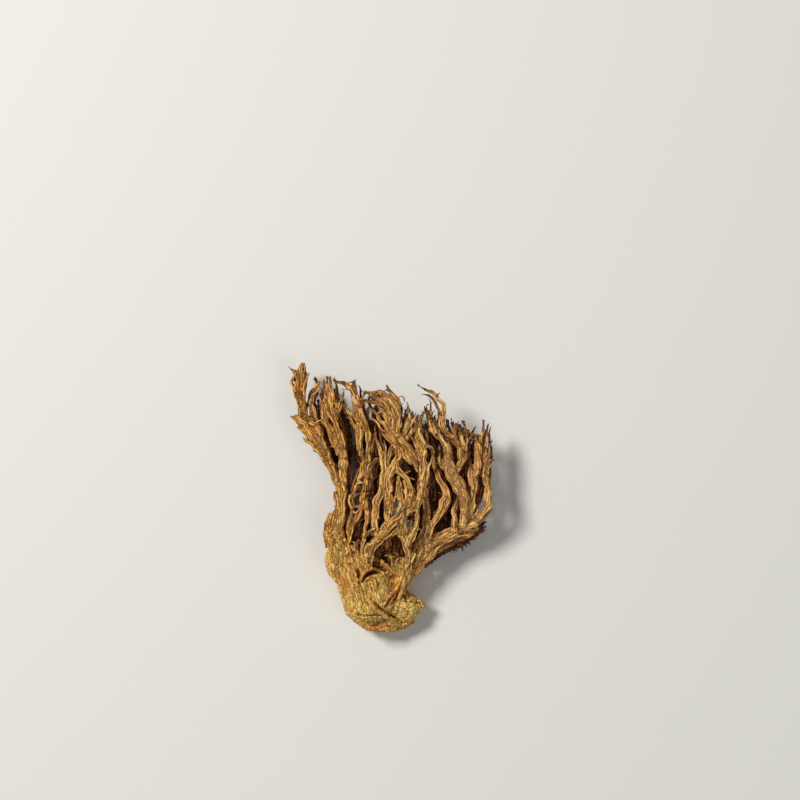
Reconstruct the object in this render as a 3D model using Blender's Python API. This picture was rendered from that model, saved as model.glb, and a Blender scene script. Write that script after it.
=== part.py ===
"""A dried coral fungus lying on its back: a cut stem that forks into limbs of flattened strands.

Metres, +Z up. The length runs along Y, butt at -Y and branch tips at +Y, and the side that lay
uppermost faces +Z. The origin is under the middle of the whole, on the surface that it lies on.
Each limb is a solid of its own, cut off where it grows from the stem or crosses an earlier limb.
"""

import math
import random

import bmesh
import bpy
from mathutils import Vector

MM = 0.001

# Driving sizes, in millimetres.
FIT_GAP = 0.35  # between a limb and whatever it grows from or lies beside
RING_SPACING = 5.0  # between the rings of a strand
BACK_SPACING = 6.8  # between the rings of a strand underneath
SIDES = 6  # of a strand's section
SLENDER_SIDES = 5  # of the section of a slender strand, and of all strands underneath
SLENDER = 2.5  # a strand is slender where its widest place is under this
STEM_SIDES = 11  # of the stem's bodies
FLATNESS = 0.66  # a strand's thickness as a share of its width
WIDEN = 1.22  # a six-sided strand that lies at a slant shows narrower than the width written for it
STEM_FLATNESS = 0.78  # of the stem's bodies
CENTRE_X = -0.6  # middle of the whole in the frame that the routes are written in
CENTRE_Y = -0.5
LIE = 30.0  # degrees that a strand's flat side may lean either way
SWAY = 0.045  # sideways bends of a fan's strand, as a share of its length
FAN_WIDTH = 2.3  # of a fan's strand at its foot

# Colours in linear light.
FLESH = (0.46, 0.29, 0.10)
PALE_FLESH = (0.55, 0.38, 0.15)
DARK_FLESH = (0.30, 0.17, 0.07)

# Every route is a list of (x, y, height, width) in millimetres, from a strand's foot to its tip.
STEM = {
    "body": [(-5.6, -36.2, 5, 7), (-6, -35, 5, 11.5), (-6.2, -32.5, 5.1, 15), (-6.6, -28, 5.3, 15.6),
             (-8.4, -23, 5.7, 15), (-10.6, -18.8, 6, 12.6), (-12, -17, 6.2, 10)],
    "left_side": [(-11.5, -24, 6, 8), (-14.4, -18, 7, 9), (-15.8, -13, 8, 7.6)],
    "middle": [(-4, -30, 6, 8), (-6, -24, 7, 8.4), (-7.4, -19, 8.4, 6.4)],
    "rib": [(-3.4, -31, 6.6, 7), (-3.6, -26, 7.2, 6.4), (-4.6, -23.6, 7.4, 4.4)],
    "right_side": [(-0.5, -33.5, 5, 9), (0.5, -28.5, 5.6, 6.8), (1.4, -25.6, 6.2, 5),
                   (2.8, -23.2, 6.8, 4.8), (4.6, -20.6, 7.6, 4.8)],
    "lobe": [(-1, -30.8, 4.8, 9), (3.8, -30.8, 4.8, 9), (6.6, -30.8, 4.6, 6.2), (8, -30.8, 4.4, 3.4)],
    "heel": [(-9, -34, 4.6, 3.6), (-6.8, -34.8, 4.6, 5.2), (-2, -35.2, 4.4, 5.4),
             (2.4, -34.2, 4.4, 5.6), (5.6, -32.8, 4.4, 4)],
    "back_left": [(-8, -27, 4.2, 9), (-11.8, -19, 3.8, 7.6), (-13.4, -14.5, 3.6, 6)],
    "back_middle": [(-3, -27, 4.2, 9), (-4.8, -20.6, 3.8, 7.4), (-5.4, -17.4, 3.6, 6)],
    "back_right": [(0, -29, 4.2, 7.4), (1.8, -23.6, 3.8, 5.4), (4.6, -19.6, 3.6, 4.8)],
}

# What is hollowed out of the stem: the pocket under the middle limb and the crease beside the lobe.
STEM_HOLLOWS = {
    "pocket": [(-6.6, -21.2, 12, 2.6), (-4.6, -20.8, 10.6, 4.2), (-2.4, -20.4, 9.6, 4.4),
               (0, -19.4, 9, 3)],
    "crease": [(-3.8, -28.6, 11.8, 0.8), (-2.2, -31.4, 10.6, 1.5), (0.2, -33.4, 8.8, 1.6),
               (3, -35.6, 6.4, 1.2)],
}

LEFT_LIMB = {
    "trunk": [(-15.8, -13.5, 8.2, 5.4), (-15.6, -8, 8.8, 4), (-14.6, -3, 9.2, 2.8), (-14, 1, 9.6, 2.6),
              (-14, 5, 10, 3.2)],
    "fold": [(-17, -14, 7.8, 4), (-18.2, -9.5, 8.2, 2.6), (-17.5, -6.2, 8.8, 2),
             (-15.6, -3.8, 9.4, 1.3)],
    "seam": [(-14.8, -14.5, 9, 2.6), (-14.2, -9, 9.8, 1.9), (-13.7, -3.5, 10.2, 1.5),
             (-13.4, 1.5, 10.4, 1.2)],
    "outer": [(-14.7, 0, 9.8, 1.7), (-15.8, 5, 10, 1.9), (-17.7, 9, 10, 2.2), (-19.6, 13, 10, 2.7),
              (-21.9, 17, 10, 3.5), (-24.5, 20, 10, 3.4), (-26.6, 21.9, 9.6, 2.2),
              (-27.9, 22.2, 9.2, 1)],
    "outer_top": [(-23.5, 19, 10, 3), (-25, 22.5, 9.6, 2.6), (-25.4, 26, 9.4, 2.2), (-26, 29.5, 9.3, 3),
                  (-25.7, 33, 9.4, 3.4), (-25, 36.6, 9.2, 2.2)],
    "knob_left": [(-26, 32.3, 9, 1.8), (-27.2, 34.4, 9.2, 1.3), (-28.6, 35.8, 9, 0.7)],
    "knob_right": [(-25.5, 28, 9.3, 1.5), (-24.5, 30.8, 9.2, 1.6), (-24, 33, 9.2, 0.9)],
    "arc": [(-19.6, 16, 8.8, 2.4), (-21.5, 21.8, 8, 1.8), (-22.8, 25.5, 7.6, 1.5),
            (-22.3, 28.5, 7.5, 1.4), (-21, 30.3, 7.3, 1.2), (-21.4, 32.6, 7, 0.8)],
    "slat": [(-17.2, 8.5, 10, 1.9), (-18.6, 13.4, 10.8, 1.6), (-20, 17, 11.2, 1.6),
             (-21.6, 19.9, 11, 1.5), (-24, 21.9, 10.6, 1.2)],
    "inner": [(-13.7, 3, 10, 3.2), (-13.7, 10, 10.6, 2.7), (-14.3, 15, 11, 2.2),
              (-15.2, 18.5, 11.2, 1.9), (-16, 22, 11.2, 1.9), (-17, 26, 11, 1.8),
              (-17.9, 29.5, 10.8, 1.6), (-18.2, 33, 10.6, 0.8)],
    "inner_right": [(-13.3, 10.5, 11, 1.8), (-13.8, 15.6, 11.8, 1.5), (-15.1, 19, 12.2, 1.4),
                    (-16.3, 23.4, 12.4, 1.4), (-16.7, 27, 12.4, 1.4), (-17, 30.6, 12.2, 1.2),
                    (-17.5, 32.8, 12, 0.9)],
    "inner_left": [(-14.6, 11.5, 10.8, 1.8), (-16.9, 17.4, 11.2, 1.5), (-18.4, 20.8, 11.2, 1.5),
                   (-18.9, 24, 10.8, 1.4), (-18.8, 27.5, 10.4, 1.2), (-19.2, 30.6, 10, 0.9)],
    "bud": [(-15.8, 20.5, 12.2, 1.3), (-15.2, 23.4, 12.4, 1.4), (-14.2, 26.2, 12.6, 1.3),
            (-13.6, 28.6, 12.4, 0.8)],
}

INNER_LIMB = {
    "root": [(-12, -18.5, 9.6, 2.4), (-12.1, -14.5, 10.4, 1.7), (-12, -11.6, 11, 1.4),
             (-11.3, -8.8, 11.3, 1.2), (-9.9, -5.9, 11.7, 1.1), (-8.7, -3.6, 12, 1.2),
             (-8.1, -0.8, 12.3, 1.3), (-7.7, 4, 12.8, 1.4)],
    "stump": [(-10.7, -18.6, 9.8, 1.6), (-10.3, -15.6, 10.3, 1.3), (-10, -13, 10.7, 0.9)],
    "left_root": [(-12.1, -11.5, 10.6, 1.3), (-12.4, -8.5, 10.8, 1.1), (-11.9, -5.8, 11, 1),
                  (-11.2, -3, 11.1, 1.1), (-11.2, 0, 11.2, 1.1), (-10.2, 3.3, 11.6, 1.1),
                  (-8.9, 6, 12.2, 1.2), (-8.4, 9, 12.6, 1.3), (-8.6, 12.4, 13, 1.4)],
    "bow": [(-7.7, 3, 12.8, 1.5), (-7, 8, 13.4, 1.4), (-6.7, 12, 14, 1.4), (-6.7, 15.5, 14.4, 1.5),
            (-7.3, 19.5, 14.6, 1.6), (-8.6, 22.8, 14.6, 1.7), (-9.6, 25.5, 14.4, 1.7),
            (-9.9, 28.4, 14.2, 1.4), (-10.6, 31.2, 14, 1)],
    "bow_tip": [(-9.3, 24.6, 14.2, 1.3), (-8.7, 26.7, 14.2, 1.2), (-7.7, 28.7, 14, 0.7)],
    "right_root": [(-9.4, -19, 9.6, 2), (-8.5, -14.6, 10.2, 1.4), (-7.9, -10.6, 10.8, 1.3),
                   (-7.3, -7.2, 11.4, 1.3), (-7.2, -3.6, 12, 1.3), (-7.8, 0, 12.4, 1.2)],
    "left_bow": [(-8.7, 11, 13, 1.5), (-9.2, 15, 13.2, 1.5), (-9, 18.6, 13.6, 1.7),
                 (-10.4, 22, 13.8, 1.7), (-12.4, 24, 13.8, 1.4), (-13.8, 25.8, 14.2, 0.9)],
    "arch": [(-9.9, 27, 14.2, 1.5), (-11.3, 29.9, 14.2, 1.3), (-13.6, 31.2, 14.2, 1.3),
             (-15.6, 32, 14.4, 0.8)],
    "loop": [(-11.9, 1, 11.4, 1), (-11.9, -2, 12, 0.9), (-10.7, -4.3, 12.2, 0.9),
             (-9.3, -3.6, 12.4, 1)],
    "bridge": [(-10.4, 3.6, 12, 1), (-8.7, 4.3, 12.8, 1), (-7.4, 3.4, 12.8, 1)],
    "slant": [(-7.3, 5.2, 13, 1.2), (-6.8, 7.6, 13.6, 1), (-6, 9.3, 14, 1.1), (-4.9, 10, 14.2, 0.9)],
}

MIDDLE_LIMB = {
    "trunk": [(-8, -20.2, 8.4, 3.9), (-7, -16.8, 9.2, 3.6), (-6, -13.8, 10, 3.4),
              (-4.2, -11.6, 10.8, 3.2), (-2.3, -9.7, 11.5, 3), (-0.4, -7.4, 12.1, 2.8),
              (2, -4.9, 12.8, 2.7), (4.4, -2.9, 13.3, 2.8), (5.9, -1, 13.6, 2.5),
              (6.2, 1.2, 13.8, 1.5)],
    "side_twig": [(-4.9, -8, 12.6, 1.3), (-6.4, -9.3, 12.8, 0.9), (-7.6, -10.6, 12.6, 0.6)],
    "column": [(-4.9, -11, 11.4, 2.6), (-5, -4.5, 12.2, 2.3), (-4.6, -1, 13, 2.3),
               (-3.7, 1.5, 13.8, 1.9), (-3, 5, 14.4, 1.5), (-2.9, 9, 14.8, 1.5),
               (-3.3, 12.5, 15.2, 1.5), (-4.3, 15.6, 15.4, 1.3), (-5, 18.6, 15.6, 0.9)],
    "thin_column": [(-1.4, -8.6, 12.2, 1.8), (-1.6, -4, 12.8, 1.7), (-1.5, 0, 13.4, 1.4),
                    (-1.4, 5, 14, 1.3), (-1.5, 9, 14.6, 1.2), (-1, 12, 15, 1.3),
                    (0.2, 14.2, 15.4, 1.6)],
    "pale_column": [(-0.6, -5, 12.8, 1.9), (-0.7, 2, 14, 1.6), (-0.6, 6, 14.8, 1.8),
                    (0.5, 8.6, 15.2, 2.2), (1.6, 10.6, 15.6, 1.8), (1.5, 13, 16, 1.9),
                    (1.2, 15.6, 16.4, 1.8)],
    "lens": [(0.8, 8.3, 15.4, 1.9), (3.2, 5.7, 15.6, 1.7), (5, 3.3, 15.2, 1.6), (6, 1, 14.4, 1.5)],
    "lens_rib": [(1.5, 6.4, 14.8, 1.1), (1.6, 1.5, 14.2, 1.4), (2, -2.3, 14, 1.3),
                 (1.4, -4.4, 13.4, 1.1)],
    "lens_spine": [(3, 5.2, 15.2, 1.2), (3.9, 1.2, 14.4, 1.4), (3.4, -1.8, 14, 1.3),
                   (1.8, -4.2, 13.4, 1.1)],
    "spindle": [(3.6, -3, 13.6, 2.2), (5, 0, 14.4, 2.1), (5.6, 2.6, 15, 1.4)],
    "sweep": [(7.8, 9, 14.4, 0.9), (6.3, 11.2, 15.4, 1.4), (4.8, 13.2, 16.2, 1.8), (3, 15, 16.6, 1.9),
              (1.4, 17, 16.8, 1.8), (0, 19, 17, 1.7), (-1.6, 21.8, 17.2, 1.7), (-2.8, 24.3, 17.2, 1.6),
              (-4.8, 26.2, 17, 1.4), (-7, 26.6, 16.8, 0.9)],
    "low_sweep": [(7.3, 6.8, 14.2, 0.9), (5.8, 9.3, 15.1, 1.6), (3.4, 12.2, 15.8, 2.2),
                  (0.8, 15.2, 16.2, 1.8), (-1.2, 18, 16.4, 1.6), (-3.1, 21, 16.6, 1.5),
                  (-4.6, 23.2, 16.6, 1.3), (-6, 24.4, 16.8, 0.8)],
    "crest": [(1.2, 17.5, 16.8, 1.6), (1.4, 21.5, 17.4, 1.7), (0.9, 24.3, 17.8, 1.8),
              (-0.4, 26.8, 18, 1.8), (-2.5, 28.4, 17.8, 1.6), (-5, 29, 17.4, 1.4),
              (-7.6, 28.8, 17.2, 0.8)],
    "left_crest": [(0.1, 18.5, 17.2, 1.5), (-0.1, 22.3, 17.8, 1.5), (-1.4, 25.2, 18, 1.6),
                   (-3.3, 27, 17.8, 1.3), (-5.8, 27.9, 17.4, 0.9)],
    "flap": [(1, 22.8, 17.4, 1.8), (1.6, 25.6, 17.6, 1.9), (0.4, 27.9, 17.6, 1.8),
             (-1.2, 29.5, 17.4, 0.8)],
    "post": [(1.8, 16, 16, 1.6), (3.7, 19.4, 16, 1.8), (4.5, 22, 16, 1.6), (4.2, 25, 15.6, 0.8)],
    "thin_post": [(3, 15.4, 16, 1.3), (5.1, 18.4, 15.6, 1.2), (5.4, 22.4, 15.2, 0.8)],
}

FORKED_LIMB = {
    "neck": [(1.9, -27.8, 8.6, 0.8), (2.9, -24.8, 9.6, 1.3), (3.6, -21, 11, 1.6), (4.1, -17, 12.6, 1.6),
             (4.2, -14, 13.4, 1.7), (3.9, -11.2, 14, 2.6), (3.4, -9, 14.4, 3.2)],
    "left_prong": [(3.4, -12, 13.8, 1.8), (2.1, -9.8, 14.2, 2), (1.4, -8.4, 14.4, 1.3),
                   (1.6, -6.6, 14.6, 0.7)],
    "middle_prong": [(3.3, -10.4, 14.4, 2.8), (3, -8, 15, 2.6), (3, -5.8, 15.8, 1.8),
                     (3.3, -4.2, 16.2, 0.9)],
    "right_prong": [(4.2, -11.4, 14.2, 2.4), (5.9, -9, 14.9, 1.7), (6.6, -6.4, 15.3, 1.3),
                    (6.7, -4.4, 15.6, 1.2), (6.9, -2, 15.9, 1.3), (7.4, 1, 16.2, 1.4),
                    (8, 4.5, 16.4, 1.5), (8.3, 8, 16.8, 1.7), (8.7, 11, 17, 1.8), (8.5, 14, 17, 1.7),
                    (7.6, 17, 16.8, 1.5), (7.2, 20, 16.4, 1.4), (8, 22.8, 16, 1.2)],
    "spur": [(8.7, 9, 16.8, 1.3), (7.3, 12.2, 17.2, 1.1), (6.6, 15.6, 17, 1.1), (6.4, 20.6, 16.4, 0.8)],
}

RIGHT_LIMB = {
    "trunk": [(5, -22, 8.4, 4.2), (7.6, -17, 9, 4.6), (10, -14, 9.6, 5), (13, -11.8, 10, 4),
              (16.5, -9.8, 10.4, 3.4), (20, -8, 10.8, 3.4), (23.3, -6.5, 11.2, 3),
              (25.6, -4, 11.6, 2.7), (26.3, -0.5, 12, 2.4)],
    "shelf": [(11.5, -14.5, 9, 3), (16.5, -12, 8.8, 2.2), (20.5, -10, 9.2, 1.7), (24, -8.6, 9.6, 1.2)],
    "back_strand": [(6.2, -17.5, 9.6, 2.8), (7.8, -12.4, 11, 2.6), (9.1, -8.5, 12, 1.8),
                    (9.4, -4.5, 12.6, 1.4), (9.3, 0, 12.8, 1.3), (9.2, 4, 13, 1.3), (9.8, 8, 13.2, 1.3),
                    (10.2, 11, 13.2, 0.9)],
    "elbow": [(9.2, -13.2, 10.6, 2.2), (9.8, -10.2, 11.6, 1.6), (10.7, -7.8, 12.3, 1.6),
              (12.2, -5, 13.2, 2.1), (13.4, -2.4, 13.9, 2.4), (14.5, 0.6, 14.4, 2.2),
              (13.5, 3.2, 14.6, 1.5), (12.1, 5.8, 14.6, 1.2), (11.3, 8.8, 14.6, 1.1),
              (11, 11.5, 14.6, 1.2), (10.1, 14.2, 14.6, 1.3), (9.2, 16.8, 14.4, 1.2),
              (8.6, 19.4, 14, 0.8)],
    "elbow_edge": [(13.2, -4.6, 13, 1.1), (14.9, -3, 13.4, 0.9), (15.5, -0.8, 13.8, 0.9),
                   (15, 1.6, 14.2, 0.8)],
    "stub": [(16.8, -10, 11, 2.2), (17, -6, 12.4, 1.7), (17, -3, 13, 1.6), (18.1, -0.3, 13.6, 1.5)],
    "broad": [(19.3, -8.8, 11.2, 2.6), (19.6, -4.5, 12.8, 2.2), (19.7, -1, 13.6, 2.5),
              (18.7, 2, 14.4, 3), (17.2, 4.6, 15, 3), (15.9, 7.2, 15.4, 2.8), (15.2, 10, 15.6, 2),
              (14.9, 12.5, 15.6, 1.6), (14.2, 15, 15.4, 1.4), (12.9, 17.3, 15, 1.2),
              (12.2, 19.6, 14.4, 0.8)],
    "broad_right": [(16.9, 6.2, 15.2, 1.8), (18.1, 8.7, 15.2, 1.5), (19.2, 10.6, 15, 1.5),
                    (19.8, 13, 14.6, 1.4), (19.2, 16, 14.2, 1.1), (18.4, 19.4, 13.6, 0.7)],
    "broad_left": [(14.8, 7.6, 15.2, 1.4), (13.3, 8.6, 14.8, 1), (12.9, 10.8, 14.4, 0.9),
                   (12.8, 13.8, 14, 0.7)],
    "blade": [(21, -7.5, 11.2, 2), (21.5, -2.5, 12.4, 1.5), (21.8, 1.5, 13, 1.6), (21.8, 4.5, 13.4, 2),
              (21.4, 7.4, 13.6, 1.8), (21.2, 9.6, 13.4, 0.9)],
    "blade_top": [(22.4, 3.6, 13.4, 1.6), (23.1, 7, 13.5, 1.7), (23.7, 10.2, 13.4, 2),
                  (23.6, 13.2, 13.2, 1.8), (24.2, 15.8, 12.8, 1.6), (24.8, 18, 12.4, 1.2),
                  (24.9, 20.2, 12.2, 0.7)],
    "rim": [(25.9, -2, 12, 2.2), (25.9, 2, 12.3, 1.9), (25.7, 5, 12.5, 1.7), (26, 8.5, 12.5, 1.4),
            (26.4, 11.5, 12.2, 1.2), (26.8, 14.8, 11.8, 0.7)],
    "rim_left": [(26, 3, 12.4, 1.7), (25, 7, 12.6, 1.3), (25.3, 10.5, 12.6, 1.3), (25.4, 14, 12.4, 1.2),
                 (25.8, 17, 12, 1), (26.1, 19.6, 11.8, 0.6)],
    "arc": [(18.2, 10.5, 14.6, 1.4), (18.1, 14, 13.4, 1.3), (17, 16.2, 13.4, 1.3),
            (15.3, 17.6, 13.6, 1.3), (13.8, 19, 14, 1.4), (13.9, 22, 14.4, 1.5), (14, 24, 14.6, 1.4),
            (13.3, 26.2, 14.8, 1.4), (11.6, 28.2, 14.8, 1.5), (9.8, 29.4, 14.6, 1.2),
            (8.2, 30.1, 14.4, 0.6)],
    "pair": [(13.8, 15.6, 15, 1.3), (11.6, 17.2, 14.4, 1.4), (10.4, 19.6, 14.2, 1.4),
             (9.6, 22.2, 14.2, 1.3), (9, 24.3, 13.8, 0.7)],
    "pair_tip": [(10.4, 19.6, 14, 1.2), (10.4, 23.2, 13.8, 0.9), (10.3, 26, 13.4, 0.6)],
    "sprig": [(19.4, 13, 14.6, 1.2), (20.4, 16.4, 13.6, 1), (19.6, 20.3, 13, 0.6)],
    "sprig_right": [(20.2, 15.4, 13.8, 1.1), (21.8, 17.2, 13.2, 1), (22.4, 19, 12.8, 0.6)],
    "dark_tip": [(17, 16, 13.4, 1.2), (16.6, 18.8, 13, 0.9), (16, 21.2, 12.6, 0.6)],
    "crest": [(16.6, 19.4, 12, 1), (18.4, 18.2, 12.4, 1.6), (20.4, 17.3, 12.6, 1.7),
              (22.2, 16.3, 12.4, 1.6), (24, 15.9, 12.2, 1.1)],
}

# The limbs underneath are fans: a trunk, and strands that leave it for a row of tips. A fan is its
# trunk's route, its tips (x, y, height) from left to right, its number of strands, and the share of the
# trunk where the first strand and the last one leave it.
BACK_LEFT = {
    "trunk": [(-13.4, -15.4, 3.4, 5.2), (-13.6, -8, 2, 4.2), (-13.9, -1, 1.5, 3), (-14.3, 5, 1.6, 2.4)],
    "tips": [(-24.6, 17.6, 2.4), (-22.4, 24, 0.3), (-19.6, 28, 4.6), (-16.6, 29, 0.3), (-13.6, 26, 5.4),
             (-13, 19.5, 1)],
    "strands": 9,
    "feet": (0.98, 0.55),
}
BACK_MIDDLE = {
    "trunk": [(-5.2, -18.4, 3.4, 5), (-4.8, -11, 2, 4.4), (-3.4, -3, 1.6, 4), (-0.4, 4, 1.8, 2.8)],
    "tips": [(-9.6, 15.5, 6), (-9.4, 24, 0.3), (-6, 27, 8), (-2.4, 26.4, 0.3), (1.6, 25, 8.4),
             (4.6, 22.6, 0.3), (6.8, 18, 8)],
    "strands": 11,
    "feet": (0.35, 0.98),
}
# A sheet that closes the space between the middle limb's two sides from below.
BACK_WEB = [(-3.8, -7.6, 2.4, 3.4), (-2, -11, 2.8, 5.2), (-0.2, -15, 3.2, 5.8), (0.8, -19, 3.6, 5),
            (1.4, -22, 4, 3.4)]
BACK_RIGHT = {
    "trunk": [(4.8, -20.6, 3.4, 4.2), (8.4, -15.4, 2, 4), (13.6, -11.6, 1.2, 3.6), (19, -8.8, 1, 3),
              (23, -6.4, 1.8, 2.2)],
    "tips": [(8.2, 17, 6), (10.4, 21.4, 0.3), (14, 20.6, 8), (17.4, 19.6, 0.3), (20.6, 17, 7.6),
             (23.4, 15, 0.3), (25.2, 8.6, 7)],
    "strands": 11,
    "feet": (0.3, 0.96),
}
FRINGE = {
    "trunk": [(7.4, -17.4, 2.8, 3.2), (13, -13.6, 2.6, 3.4), (19, -10.8, 2.6, 3), (24.4, -7.4, 3.2, 2)],
    "tips": [(9.2, -20, 2), (12, -18.2, 5), (14.6, -17.2, 1.6), (17, -15.6, 5.4), (19.6, -15, 1.6),
             (22.4, -12.4, 6), (25.8, -9.6, 2.4), (27, -6.4, 6)],
    "strands": 7,
    "feet": (0.12, 0.94),
}


def clear_scene():
    for obj in list(bpy.data.objects):
        bpy.data.objects.remove(obj, do_unlink=True)


def collection(name, hidden=False):
    made = bpy.data.collections.new(name)
    bpy.context.scene.collection.children.link(made)
    made.hide_render = hidden
    return made


def material(name, colour, roughness):
    made = bpy.data.materials.new(name)
    made.use_nodes = True
    shader = made.node_tree.nodes["Principled BSDF"]
    shader.inputs["Base Color"].default_value = (*colour, 1)
    shader.inputs["Roughness"].default_value = roughness
    return made


def smooth_route(points, spacing):
    """The route's points read again, evenly, from a Catmull-Rom curve through them."""
    rows = [Vector(p) for p in points]
    rows = [2 * rows[0] - rows[1], *rows, 2 * rows[-1] - rows[-2]]
    made = []
    for a, b, c, d in zip(rows, rows[1:], rows[2:], rows[3:]):
        steps = max(1, round((c - b).to_3d().length / spacing))
        for k in range(steps):
            t = k / steps
            made.append(0.5 * (2 * b + (c - a) * t + (2 * a - 5 * b + 4 * c - d) * t * t
                               + (3 * b - a - 3 * c + d) * t ** 3))
    return [*made, rows[-2]]


def section(sides, flatness, spacing, widen=WIDEN):
    """A closed outline of unit width: the section that a strand's curve is bevelled with.

    It also holds how the strands that take it are made: their flatness, spacing and widening.
    """
    curve = bpy.data.curves.new("section", "CURVE")
    curve.dimensions = "2D"
    spline = curve.splines.new("POLY")
    spline.points.add(sides - 1)
    for k, point in enumerate(spline.points):
        turn = math.tau * k / sides
        point.co = (math.cos(turn), flatness * math.sin(turn), 0, 1)
    spline.use_cyclic_u = True
    outline = bpy.data.objects.new("section", curve)
    outline.hide_render = True
    outline.display_type = "WIRE"
    outline["flatness"] = flatness
    outline["spacing"] = spacing
    outline["widen"] = widen
    bpy.data.collections["helpers"].objects.link(outline)
    return outline


def strand(route, outline, lean, grow=0.0):
    """One strand as a closed mesh. With grow, it is that much thicker all round, and longer."""
    curve = bpy.data.curves.new("strand", "CURVE")
    curve.dimensions = "3D"
    curve.twist_mode = "Z_UP"
    curve.bevel_mode = "OBJECT"
    curve.bevel_object = outline
    curve.use_fill_caps = True
    spline = curve.splines.new("POLY")
    points = smooth_route(route, outline["spacing"])
    if grow:
        points[0] += (points[0] - points[1]) * (grow / (points[0] - points[1]).to_3d().length)
        points[-1] += (points[-1] - points[-2]) * (grow / (points[-1] - points[-2]).to_3d().length)
    spline.points.add(len(points) - 1)
    widen = outline["widen"]
    for place, (x, y, z, width) in zip(spline.points, points):
        place.co = ((x - CENTRE_X) * MM, (y - CENTRE_Y) * MM, z * MM, 1)
        place.radius = (widen * width / 2 + grow / outline["flatness"]) * MM
        place.tilt = math.radians(lean)
    obj = bpy.data.objects.new("strand", curve)
    bpy.context.scene.collection.objects.link(obj)
    graph = bpy.context.evaluated_depsgraph_get()
    mesh = bpy.data.meshes.new_from_object(obj.evaluated_get(graph))
    bpy.data.objects.remove(obj)
    bm = bmesh.new()
    bm.from_mesh(mesh)
    bmesh.ops.remove_doubles(bm, verts=bm.verts, dist=0.01 * MM)
    bmesh.ops.recalc_face_normals(bm, faces=bm.faces)
    bm.to_mesh(mesh)
    bm.free()
    return mesh


def volume(mesh):
    """A mesh's volume in cubic millimetres, or nothing where it isn't closed."""
    bm = bmesh.new()
    bm.from_mesh(mesh)
    closed = all(edge.is_manifold for edge in bm.edges)
    inside = bm.calc_volume(signed=True) / MM ** 3
    bm.free()
    return inside if closed else 0.0


def boolean(obj, other, operation):
    """Applies one Boolean. Where the exact solver leaves a fault, the manifold one does it."""
    whole, more = volume(obj.data), volume(other.data)
    for solver in ("EXACT", "MANIFOLD"):
        modifier = obj.modifiers.new(operation, "BOOLEAN")
        modifier.operation = operation
        modifier.solver = solver
        modifier.object = other
        graph = bpy.context.evaluated_depsgraph_get()
        mesh = bpy.data.meshes.new_from_object(obj.evaluated_get(graph))
        obj.modifiers.clear()
        after = volume(mesh)
        low, high = (max(whole, more), whole + more) if operation == "UNION" else (0, 1.001 * whole)
        if low < after < high:
            break
    if not after:
        raise RuntimeError(f"{obj.name}: the {operation} isn't closed")
    obj.data = mesh


def helper(mesh):
    obj = bpy.data.objects.new("helper", mesh)
    bpy.data.collections["helpers"].objects.link(obj)
    obj.hide_render = True
    obj.display_type = "WIRE"
    return obj


def fused(name, strands, outlines, leans, grow=0.0):
    """All the strands of a limb joined in one solid."""
    meshes = [strand(*facts, grow) for facts in zip(strands, outlines, leans)]
    body = helper(meshes[0])
    body.name = name
    for mesh in meshes[1:]:
        other = helper(mesh)
        boolean(body, other, "UNION")
        bpy.data.objects.remove(other)
    return body


def keep_largest(obj):
    """Drops the crumbs that a cut leaves beside the main body."""
    bm = bmesh.new()
    bm.from_mesh(obj.data)
    bmesh.ops.remove_doubles(bm, verts=bm.verts, dist=0.002 * MM)
    left = set(bm.verts)
    islands = []
    while left:
        start = left.pop()
        island, edge = {start}, [start]
        while edge:
            near = {e.other_vert(v) for v in edge for e in v.link_edges} & left
            left -= near
            island |= near
            edge = list(near)
        islands.append(island)
    islands.sort(key=len)
    bmesh.ops.delete(bm, geom=[v for i in islands[:-1] for v in i], context="VERTS")
    bm.to_mesh(obj.data)
    bm.free()


def block(low, high):
    """A box between two corners, in millimetres."""
    bm = bmesh.new()
    bmesh.ops.create_cube(bm, size=1)
    size, middle = Vector(high) - Vector(low), (Vector(high) + Vector(low)) / 2
    bmesh.ops.scale(bm, vec=size * MM, verts=bm.verts)
    bmesh.ops.translate(bm, vec=middle * MM, verts=bm.verts)
    mesh = bpy.data.meshes.new("block")
    bm.to_mesh(mesh)
    bm.free()
    return helper(mesh)


def along(route, share):
    """The point of a route at a share of its length."""
    points = smooth_route(route, 1.0)
    return points[min(len(points) - 1, round(share * (len(points) - 1)))]


def fan(plan, seed):
    """A fan's routes: its trunk, and strands that start along the trunk and bend away to their tips."""
    dice = random.Random(seed)
    routes = {"trunk": plan["trunk"]}
    row = plan["tips"]
    last = plan["strands"] - 1
    first_foot, last_foot = plan["feet"]
    for k in range(plan["strands"]):
        place = k / last * (len(row) - 1)
        cell = min(int(place), len(row) - 2)
        tip = Vector(row[cell]).lerp(Vector(row[cell + 1]), place - cell)
        foot = along(plan["trunk"], first_foot + (last_foot - first_foot) * k / last)
        routes[f"strand_{k}"] = bent_route(foot, tip, dice)
    return routes


def fan_named(plan, seed, name):
    """A second fan of the same limb, with routes of other names."""
    return {f"{name}_{part}": route for part, route in fan(plan, seed).items()}


def bent_route(foot, tip, dice):
    """A wavy strand from a trunk's point to a tip."""
    x, y, z, width = foot
    span = Vector(tip) - foot.to_3d()
    sway = SWAY * span.length
    rows = [(x, y, z, min(FAN_WIDTH, 0.6 * width))]
    for share, lean in ((0.3, 0.18), (0.6, 0.55), (0.82, 0.8)):
        bends = [dice.uniform(-sway, sway) for _ in range(3)]
        rows.append((x + lean * span.x + bends[0], y + share * span.y + bends[1],
                     z + share * span.z + bends[2], FAN_WIDTH * (1 - 0.5 * share)))
    return [*rows, (*tip, 0.3 * FAN_WIDTH)]


def carve(body, routes, outline):
    """Cuts strand-shaped hollows."""
    for route in routes.values():
        hollow = helper(strand(route, outline, 0))
        boolean(body, hollow, "DIFFERENCE")
        bpy.data.objects.remove(hollow)


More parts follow.
